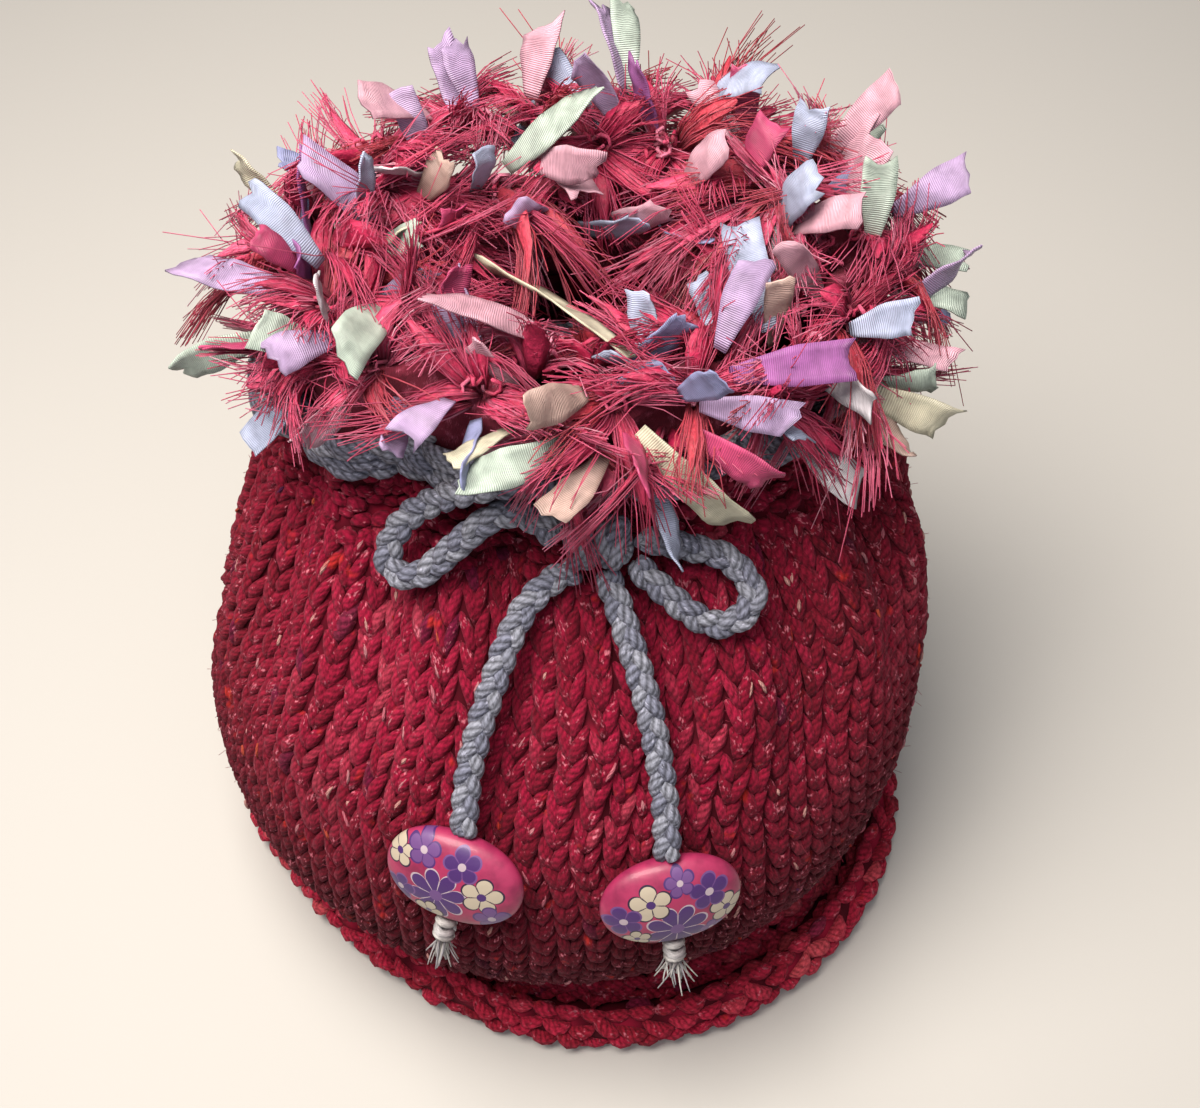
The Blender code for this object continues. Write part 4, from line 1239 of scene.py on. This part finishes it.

# %% [markdown]
# ## Ribbons
#
# Short lengths of satin and woven ribbon are knotted into the yarn. Each is a thin strip that
# arches from its root to its tip, a little twisted, with an end cut on the slant or notched.
# The ones that the photo shows were noted one by one, as the pixel of the root and of the tip,
# the width and the dye. A line from the camera through a pixel meets a mound round the ring,
# and that gives the place. The rest of the ring is filled by the same rule with chance values.

# %% Ribbons that show
RIBBON_DYES = {
    "mint": "#C2D2C6", "cream": "#DDD8C0", "blue": "#BAC4E2", "lilac": "#C2A8D2", "hot": "#D0507E",
    "pink": "#E2AEC0", "peri": "#A4AAD8", "beige": "#CCAEA4", "purple": "#A866A8", "white": "#DED8E0",
}
SEEN_RIBBONS = (
    (234, 343, 157, 375, 8, "mint"), (268, 200, 236, 154, 7, "cream"), (321, 264, 246, 193, 7, "blue"),
    (293, 293, 186, 264, 8, "lilac"), (300, 270, 255, 235, 6, "hot"), (407, 250, 304, 157, 8, "lilac"),
    (364, 214, 361, 154, 6, "blue"), (471, 100, 454, 43, 7, "lilac"), (429, 107, 364, 100, 8, "pink"),
    (529, 86, 543, 25, 9, "pink"), (625, 96, 596, 5, 7, "lilac"), (630, 96, 621, 0, 6, "mint"),
    (507, 168, 596, 89, 8, "mint"), (532, 161, 596, 168, 8, "pink"), (421, 200, 446, 154, 7, "beige"),
    (475, 190, 480, 150, 6, "blue"), (414, 257, 454, 207, 7, "hot"), (557, 239, 514, 207, 7, "lilac"),
    (579, 268, 639, 221, 7, "blue"), (632, 357, 471, 264, 8, "cream"), (561, 296, 425, 296, 7, "pink"),
    (596, 232, 664, 211, 7, "pink"), (314, 343, 254, 329, 8, "mint"), (336, 339, 268, 364, 8, "lilac"),
    (393, 307, 343, 357, 9, "mint"), (586, 393, 529, 414, 8, "beige"), (564, 443, 464, 479, 8, "mint"),
    (604, 457, 550, 514, 7, "beige"), (640, 430, 735, 520, 8, "cream"), (655, 480, 682, 575, 6, "blue"),
    (690, 430, 770, 480, 7, "hot"), (700, 405, 795, 420, 7, "lilac"), (790, 430, 870, 500, 8, "white"),
    (730, 375, 855, 360, 8, "purple"), (720, 350, 760, 260, 7, "lilac"), (770, 330, 740, 220, 8, "blue"),
    (780, 230, 820, 175, 8, "blue"), (790, 230, 860, 210, 7, "pink"), (872, 240, 880, 155, 7, "mint"),
    (900, 210, 970, 170, 8, "lilac"), (850, 330, 915, 315, 7, "blue"), (880, 390, 940, 380, 7, "mint"),
    (905, 415, 965, 430, 8, "cream"), (925, 450, 985, 498, 7, "beige"), (700, 100, 770, 75, 8, "blue"),
    (745, 185, 775, 120, 7, "hot"), (800, 165, 815, 105, 7, "blue"), (685, 190, 725, 140, 7, "pink"),
    (650, 250, 715, 240, 7, "peri"), (680, 395, 725, 380, 7, "peri"), (860, 120, 905, 75, 7, "pink"),
    (920, 300, 975, 250, 7, "lilac"), (350, 410, 300, 440, 7, "pink"), (450, 400, 400, 440, 7, "lilac"),
)


def ribbons(root, tip, width, bulge, facing, seed):
    """Closed strips from roots to tips, as slabs of 12 rows and 6 columns.

    The middle line is root (1-t)^2 + 2 knee t (1-t) + tip t^2, with its knee pushed along the
    facing by the bulge. A column x from -1 to 1 lies x times half the width across it, on a
    shallow trough, and the tip is cut by slant x, or by a notch of 1 - |x|.
    """
    rng = np.random.default_rng(seed)
    count = len(root)
    t = np.linspace(0.0, 1.0, 12)
    x = np.linspace(-1.0, 1.0, 6)
    knee = (root + tip) / 2 + facing * bulge[:, None]
    t3 = t[None, :, None]
    middle = root[:, None] * (1 - t3) ** 2 + 2 * knee[:, None] * t3 * (1 - t3) + tip[:, None] * t3**2
    along = unit(np.gradient(middle, axis=1))
    face = flat_to(facing[:, None], along)
    across = np.cross(along, face)
    twist = rng.normal(0.0, 0.7, count)[:, None] * t + rng.normal(0.0, 0.3, count)[:, None]
    turned_across = across * np.cos(twist)[..., None] + face * np.sin(twist)[..., None]
    turned_face = face * np.cos(twist)[..., None] - across * np.sin(twist)[..., None]
    slant = np.where(rng.random(count) < 0.7, rng.uniform(-0.6, 0.6, count), 0.0)
    notch = np.where(slant == 0.0, rng.uniform(0.1, 0.6, count), 0.0)
    half = width[:, None] / 2 * np.clip(0.4 + 1.2 * t, 0, 1)
    ragged = rng.normal(0.0, 0.16, (count, len(x)))
    cut = (slant[:, None] * x - notch[:, None] * (1 - np.abs(x)) + ragged) * width[:, None] / 2
    trough = rng.normal(0.0, 0.55, count)[:, None, None] * x**2
    start = rng.uniform(0, 6, count)[:, None, None]
    trough = trough + 0.35 * np.sin(5 * math.pi * t[None, :, None] + 2 * x + start)
    points = (
        middle[:, :, None] + turned_across[:, :, None] * (half[:, :, None] * x)[..., None]
        + along[:, :, None] * (cut[:, None, :] * (t**4)[None, :, None])[..., None]
        + turned_face[:, :, None] * (trough * t[None, :, None])[..., None]
    )
    length = np.linalg.norm(tip - root, axis=-1)
    uv = np.stack([
        np.broadcast_to(half[:, :, None] * x, points.shape[:-1]),
        np.broadcast_to(length[:, None, None] * t[None, :, None], points.shape[:-1]),
    ], axis=-1) + rng.uniform(0, 200, (count, 1, 1, 2))
    lift = turned_face[:, :, None] * 0.17
    return slabs(points + lift, points - lift, uv)


seen = np.array([row[:5] for row in SEEN_RIBBONS], float)
seen_root = drawn_in(on_mound(seen[:, 0:2], np.full(len(seen), 12.0)), 12.0)
seen_tip = drawn_in(on_mound(seen[:, 2:4], np.full(len(seen), 24.0)), 29.0)


to_camera = unit(np.array(CAMERA_AT) - seen_tip)
seen_facing = unit(mound_out((seen_root + seen_tip) / 2) + 0.8 * to_camera)
rng = np.random.default_rng(81)
seen_bulge = rng.uniform(3.0, 7.0, len(seen))
seen_dye = [colour(RIBBON_DYES[row[5]]) for row in SEEN_RIBBONS]

RIBBON_NARROWER = 0.88
FILL_RIBBONS = 62
RIBBON_CHANCES = (0.13, 0.06, 0.16, 0.16, 0.11, 0.18, 0.07, 0.05, 0.04, 0.04)
fill_angle = (np.arange(FILL_RIBBONS) + rng.uniform(0, 1, FILL_RIBBONS)) / FILL_RIBBONS * 2 * math.pi
fill_climb = np.radians(rng.uniform(-30.0, 160.0, FILL_RIBBONS))
place, out, along = ring_frame(fill_angle)
near_bow = np.abs(np.degrees(fill_angle) - 264.0) < 36.0
fill_climb = np.where(near_bow, np.maximum(fill_climb, math.radians(25.0)), fill_climb)
way = out * np.cos(fill_climb)[:, None] + np.array([0.0, 0.0, 1.0]) * np.sin(fill_climb)[:, None]
way = unit(way + along * rng.normal(0.0, 0.5, FILL_RIBBONS)[:, None])
fill_root = place + way * 6.0
fill_tip = place + way * rng.uniform(21.0, 27.0, FILL_RIBBONS)[:, None]
fill_tip = fill_tip - UP * rng.uniform(0, 4, FILL_RIBBONS)[:, None]
sign = np.where(rng.random(FILL_RIBBONS) < 0.5, -1.0, 1.0)[:, None]
fill_facing = unit(np.cross(way, along) * sign + 0.3 * way)
fill_names = rng.choice(list(RIBBON_DYES), FILL_RIBBONS, p=RIBBON_CHANCES)
fill_dye = [colour(RIBBON_DYES[str(name)]) for name in fill_names]

# %% Satin
satin, tree, shader = new_finish("satin_ribbon_woven", Roughness=0.42, Specular_IOR_Level=0.4, Alpha=0.9)
uv = node(tree, "UVMap").outputs["UV"]
threads = bands(tree, uv, "Y", 0.9, 0.6, 2.0)
shade = ramp(tree, noise(tree, uv, 0.25, 3.0), [(0.3, colour("#C8C8C8")), (0.65, colour("#FFFFFF"))])
woven = ramp(tree, threads, [(0.0, colour("#CFCFCF")), (1.0, colour("#FFFFFF"))])
tree.links.new(times(tree, times(tree, own_dye(tree), shade), woven), shader.inputs["Base Color"])
raised_by(tree, shader, threads, 0.5, 0.0003)
seen_strips = ribbons(seen_root, seen_tip, RIBBON_NARROWER * seen[:, 4], seen_bulge, seen_facing, seed=82)
fill_width = rng.uniform(4.6, 6.4, FILL_RIBBONS)
fill_bulge = rng.uniform(-1.0, 4.0, FILL_RIBBONS)
strips = joined(seen_strips, ribbons(fill_root, fill_tip, fill_width, fill_bulge, fill_facing, seed=83))
frill_ribbons = make_piece("frill_ribbons", strips, satin, seen_dye + fill_dye)

# %% [markdown]
# ## Beads
#
# The beads are polymer clay, made as slices of a patterned roll pressed onto a ball: flowers in
# cream and purple on magenta, under a satin varnish. The pattern is drawn in the shader from
# the bead's own UV in millimetres. A flower is a circle whose radius swells and shrinks with
# the angle once for each petal, and a slightly larger one behind it gives its outline.

# %% A bead's surface
BEAD = {"long": 28.0, "tall": 20.0, "thick": 9.0}
FLOWER_GROWN, OUTLINE = 1.18, 0.38
BEAD_PLACES = {
    "left": {"centre": (-13.7, -67.6, 82.5), "down": (-0.22, -0.46, -0.86), "facing": (-0.27, -0.85, 0.45)},
    "right": {"centre": (27.8, -71.1, 78.3), "down": (0.05, -0.43, -0.90), "facing": (0.21, -0.88, 0.42)},
}


def bead_frame(place):
    """The bead's up, out and across directions from its stated down and facing."""
    up = -unit(np.array(place["down"]))
    facing = np.array(place["facing"])
    out = flat_to(facing, up)
    return up, out, np.cross(up, out)


def lens(place, long, tall, thick, rows, columns, power=0.8):
    """A rounded form: height is tall/2 cos p, and each ring's half width is long/2 sin(p)^power."""
    up, out, across = bead_frame(place)
    polar = np.linspace(0.0, math.pi, rows)[:, None]
    turn = np.linspace(0.0, 2 * math.pi, columns + 1)[None, :]
    wide = np.sin(polar) ** power
    x, y = long / 2 * wide * np.cos(turn), thick / 2 * wide * np.sin(turn)
    z = tall / 2 * np.cos(polar) * np.ones_like(turn)
    grid = np.array(place["centre"]) + x[..., None] * across + y[..., None] * out + z[..., None] * up
    at = np.zeros((rows, columns + 1), int)
    at[1:-1, :-1] = 1 + np.arange((rows - 2) * columns).reshape(rows - 2, columns)
    at[1:-1, -1] = at[1:-1, 0]
    last = 1 + (rows - 2) * columns
    at[-1] = last
    points = np.concatenate([grid[:1, 0], grid[1:-1, :-1].reshape(-1, 3), grid[-1:, 0]])
    uv = np.stack([x, z * np.ones_like(x)], axis=-1)
    r, c = np.meshgrid(np.arange(1, rows - 2), np.arange(columns), indexing="ij")
    quads = np.stack([at[r, c], at[r + 1, c], at[r + 1, c + 1], at[r, c + 1]], -1).reshape(-1, 4)
    quad_uv = np.stack([uv[r, c], uv[r + 1, c], uv[r + 1, c + 1], uv[r, c + 1]], -2).reshape(-1, 4, 2)
    c = np.arange(columns)
    top = np.stack([at[0, c], at[1, c], at[1, c + 1]], -1)
    low = np.stack([at[-1, c], at[-2, c + 1], at[-2, c]], -1)
    top_uv = np.stack([uv[0, c], uv[1, c], uv[1, c + 1]], -2)
    low_uv = np.stack([uv[-1, c], uv[-2, c + 1], uv[-2, c]], -2)
    return {
        "points": points,
        "quads": quads,
        "tris": np.concatenate([top, low]),
        "quad_uv": quad_uv,
        "tri_uv": np.concatenate([top_uv, low_uv]),
        "owner": np.zeros(len(points), int),
        "share": np.zeros(len(points)),
    }


# %% Clay
def clay_finish(name, flowers):
    """Varnished clay with flowers: centre x and y, radius, petals, turn, petal, outline and heart dyes."""
    made, tree, shader = new_finish(name, Roughness=0.5, Coat_Weight=0.12, Coat_Roughness=0.12)
    uv = node(tree, "UVMap").outputs["UV"]
    place = node(tree, "TexCoord").outputs["Object"]
    clay = [(0.35, colour("#78183F")), (0.6, colour("#96264F"))]
    out = ramp(tree, noise(tree, place, 260.0, 4.0), clay)
    for x, y, radius, petals, turn, petal, outline, heart in flowers:
        shifted = node(tree, "VectorMath", {"operation": "SUBTRACT"}, {0: uv, 1: (x, y, 0.0)})
        centred = shifted.outputs["Vector"]
        parts = node(tree, "SeparateXYZ", None, {"Vector": centred})
        away = node(tree, "VectorMath", {"operation": "LENGTH"}, {0: centred}).outputs["Value"]
        angle = maths(tree, "ARCTAN2", parts.outputs["Y"], parts.outputs["X"])
        half_turns = maths(tree, "MULTIPLY_ADD", angle, petals / 2, turn)
        swing = maths(tree, "ABSOLUTE", maths(tree, "SINE", half_turns))
        reach = maths(tree, "MULTIPLY_ADD", maths(tree, "POWER", swing, 0.5), 0.5, 0.5)
        edge = maths(tree, "MULTIPLY", reach, FLOWER_GROWN * radius)
        for limit, shade in ((maths(tree, "ADD", edge, OUTLINE), outline), (edge, petal)):
            out = mixed(tree, maths(tree, "LESS_THAN", away, limit), out, colour(shade))
        vein = maths(tree, "LESS_THAN", swing, 0.16)
        inside = maths(tree, "LESS_THAN", away, maths(tree, "MULTIPLY", edge, 0.95))
        out = mixed(tree, maths(tree, "MULTIPLY", vein, inside), out, colour(outline))
        out = mixed(tree, maths(tree, "LESS_THAN", away, radius * 0.27), out, colour(heart))
    tree.links.new(out, shader.inputs["Base Color"])
    raised_by(tree, shader, noise(tree, place, 420.0, 2.0), 0.25, 0.0004)
    return made


PURPLE, CREAM, DARK, WHITE, LILAC = "#3E1E5C", "#AA9E8C", "#24102E", "#A4949E", "#5E3C72"
FLOWERS = {
    "left": (
        (-2.0, -2.6, 5.0, 8, 0.3, PURPLE, WHITE, LILAC), (6.8, 0.3, 3.4, 5, 0.9, CREAM, DARK, PURPLE),
        (1.9, 5.7, 3.0, 5, 0.2, PURPLE, LILAC, WHITE), (-11.0, 3.6, 2.6, 5, 0.5, CREAM, DARK, PURPLE),
        (-3.2, -8.0, 2.5, 5, 1.3, CREAM, DARK, PURPLE), (-6.2, 6.2, 2.8, 5, 0.6, LILAC, PURPLE, WHITE),
        (9.4, -5.2, 2.8, 5, 0.1, LILAC, PURPLE, WHITE), (-9.6, -4.6, 2.6, 5, 0.9, PURPLE, LILAC, WHITE),
    ),
    "right": (
        (0.2, -4.4, 5.2, 8, 0.2, PURPLE, WHITE, LILAC), (-4.6, 3.0, 3.4, 5, 0.5, CREAM, DARK, PURPLE),
        (10.4, -2.2, 3.0, 5, 1.0, CREAM, DARK, PURPLE), (7.0, 3.2, 3.2, 5, 0.8, PURPLE, LILAC, WHITE),
        (-10.0, -0.8, 3.0, 5, 0.1, PURPLE, LILAC, WHITE), (1.4, 6.6, 2.4, 5, 0.4, LILAC, PURPLE, WHITE),
        (-7.6, -6.2, 2.2, 5, 0.4, CREAM, DARK, PURPLE), (7.2, -7.2, 2.0, 5, 0.7, LILAC, PURPLE, WHITE),
    ),
}
for key, place in BEAD_PLACES.items():
    form = lens(place, BEAD["long"], BEAD["tall"], BEAD["thick"], 41, 72)
    clay = clay_finish("polymer_clay_" + key, FLOWERS[key])
    make_piece("clay_bead_" + key, form, clay, replaces="bead_" + key)

# %% [markdown]
# Below each bead the cord is knotted, and its grey core frays into a small tail.

# %% Knots and tails
STOP_LONG = 7.0
HOOPS = ((2.0, 0.5), (0.2, -0.6), (-1.5, 0.4))
HOOP_RADIUS, HOOP_THICK = 1.35, 0.95
TAIL_STRANDS = 46
TAIL_DYES = colours("#D8D4D2", "#C8C4C6", "#E2DEDA", "#B4B0B8")
for key, place in BEAD_PLACES.items():
    up, out, across = bead_frame(place)
    rng = np.random.default_rng(91 if key == "left" else 92)
    stop = np.array(place["centre"]) - up * (BEAD["tall"] / 2 + STOP_LONG / 2 + 0.35)
    ring = np.linspace(0.0, 2 * math.pi, 25)[:, None]
    hoops = np.stack([stop + up * (lift + tilt * np.sin(ring)) for lift, tilt in HOOPS])
    hoops = hoops + across * HOOP_RADIUS * np.cos(ring) + out * HOOP_RADIUS * np.sin(ring)
    knot = swept(hoops, up, HOOP_THICK, HOOP_THICK, 6)
    t = np.linspace(0.0, 1.0, 6)
    spread_way = rng.normal(0.0, 0.32, (2, TAIL_STRANDS))
    way = unit(-up + across * spread_way[0][:, None] + out * (spread_way[1][:, None] + 0.12))
    length = rng.uniform(3.0, 7.0, TAIL_STRANDS)
    root = stop - up * 1.8 + across * rng.normal(0, 0.6, TAIL_STRANDS)[:, None]
    root = root + out * rng.normal(0, 0.6, TAIL_STRANDS)[:, None]
    bend = rng.normal(0.0, 0.8, (2, TAIL_STRANDS, 1)) * t**2
    aside = across * bend[0][..., None] + out * bend[1][..., None]
    paths = root[:, None] + way[:, None] * (length[:, None] * t)[..., None] + aside
    thin = 0.24 * (1 - 0.4 * t)
    frayed = swept(paths, out, thin, thin, 3)
    dye = np.concatenate([TAIL_DYES[[0, 1, 0]], TAIL_DYES[rng.integers(0, 4, TAIL_STRANDS)]])
    tail = joined(knot, frayed)
    # The hair finish darkens these strands near where they start: a painted shade.
    make_piece("frayed_tail_" + key, tail, hair_yarn, dye, replaces="bead_stop_" + key)

# %% [markdown]
# ## The cords' pieces, paths and lengths
#
# Each cord's piece, middle line and length are read back from the table of cords, and nothing
# more is done with them. The two loops of the bow go back into the knot, and each end passes
# through its bead to the knot below.

# %% Cords
for name in ("loop_left", "loop_right"):
    piece, path, length = cords[name]
for name, key in (("end_left", "left"), ("end_right", "right")):
    piece, path, length = cords[name]

# %% [markdown]
# ## The part of the tie that does not show
#
# The cord also runs round the inside of the neck, where the frill hides it.

# %% Neck run
NECK_LEVEL, NECK_GAP, NECK_INSET = 2.0, 0.16, 9.15
angle = np.linspace(-0.5 * math.pi + NECK_GAP, 1.5 * math.pi - NECK_GAP, 60)
height, left, right, front, back, middle_y = through(CLOTH_ROWS, NECK_LEVEL)[:6]
reach = np.where(np.sin(angle) < 0, middle_y - front, back - middle_y) - NECK_INSET
x = (left + right) / 2 + ((right - left) / 2 - NECK_INSET) * np.cos(angle)
neck_route = np.stack([x, middle_y + reach * np.sin(angle), np.full_like(angle, height)], axis=1)
form, _, length = braid(neck_route, UP)
make_piece("cord_neck_run", form, cotton_cord, CORD_DYES, replaces="tie_neck")
print(f"the hidden run is {length:.0f} mm long")
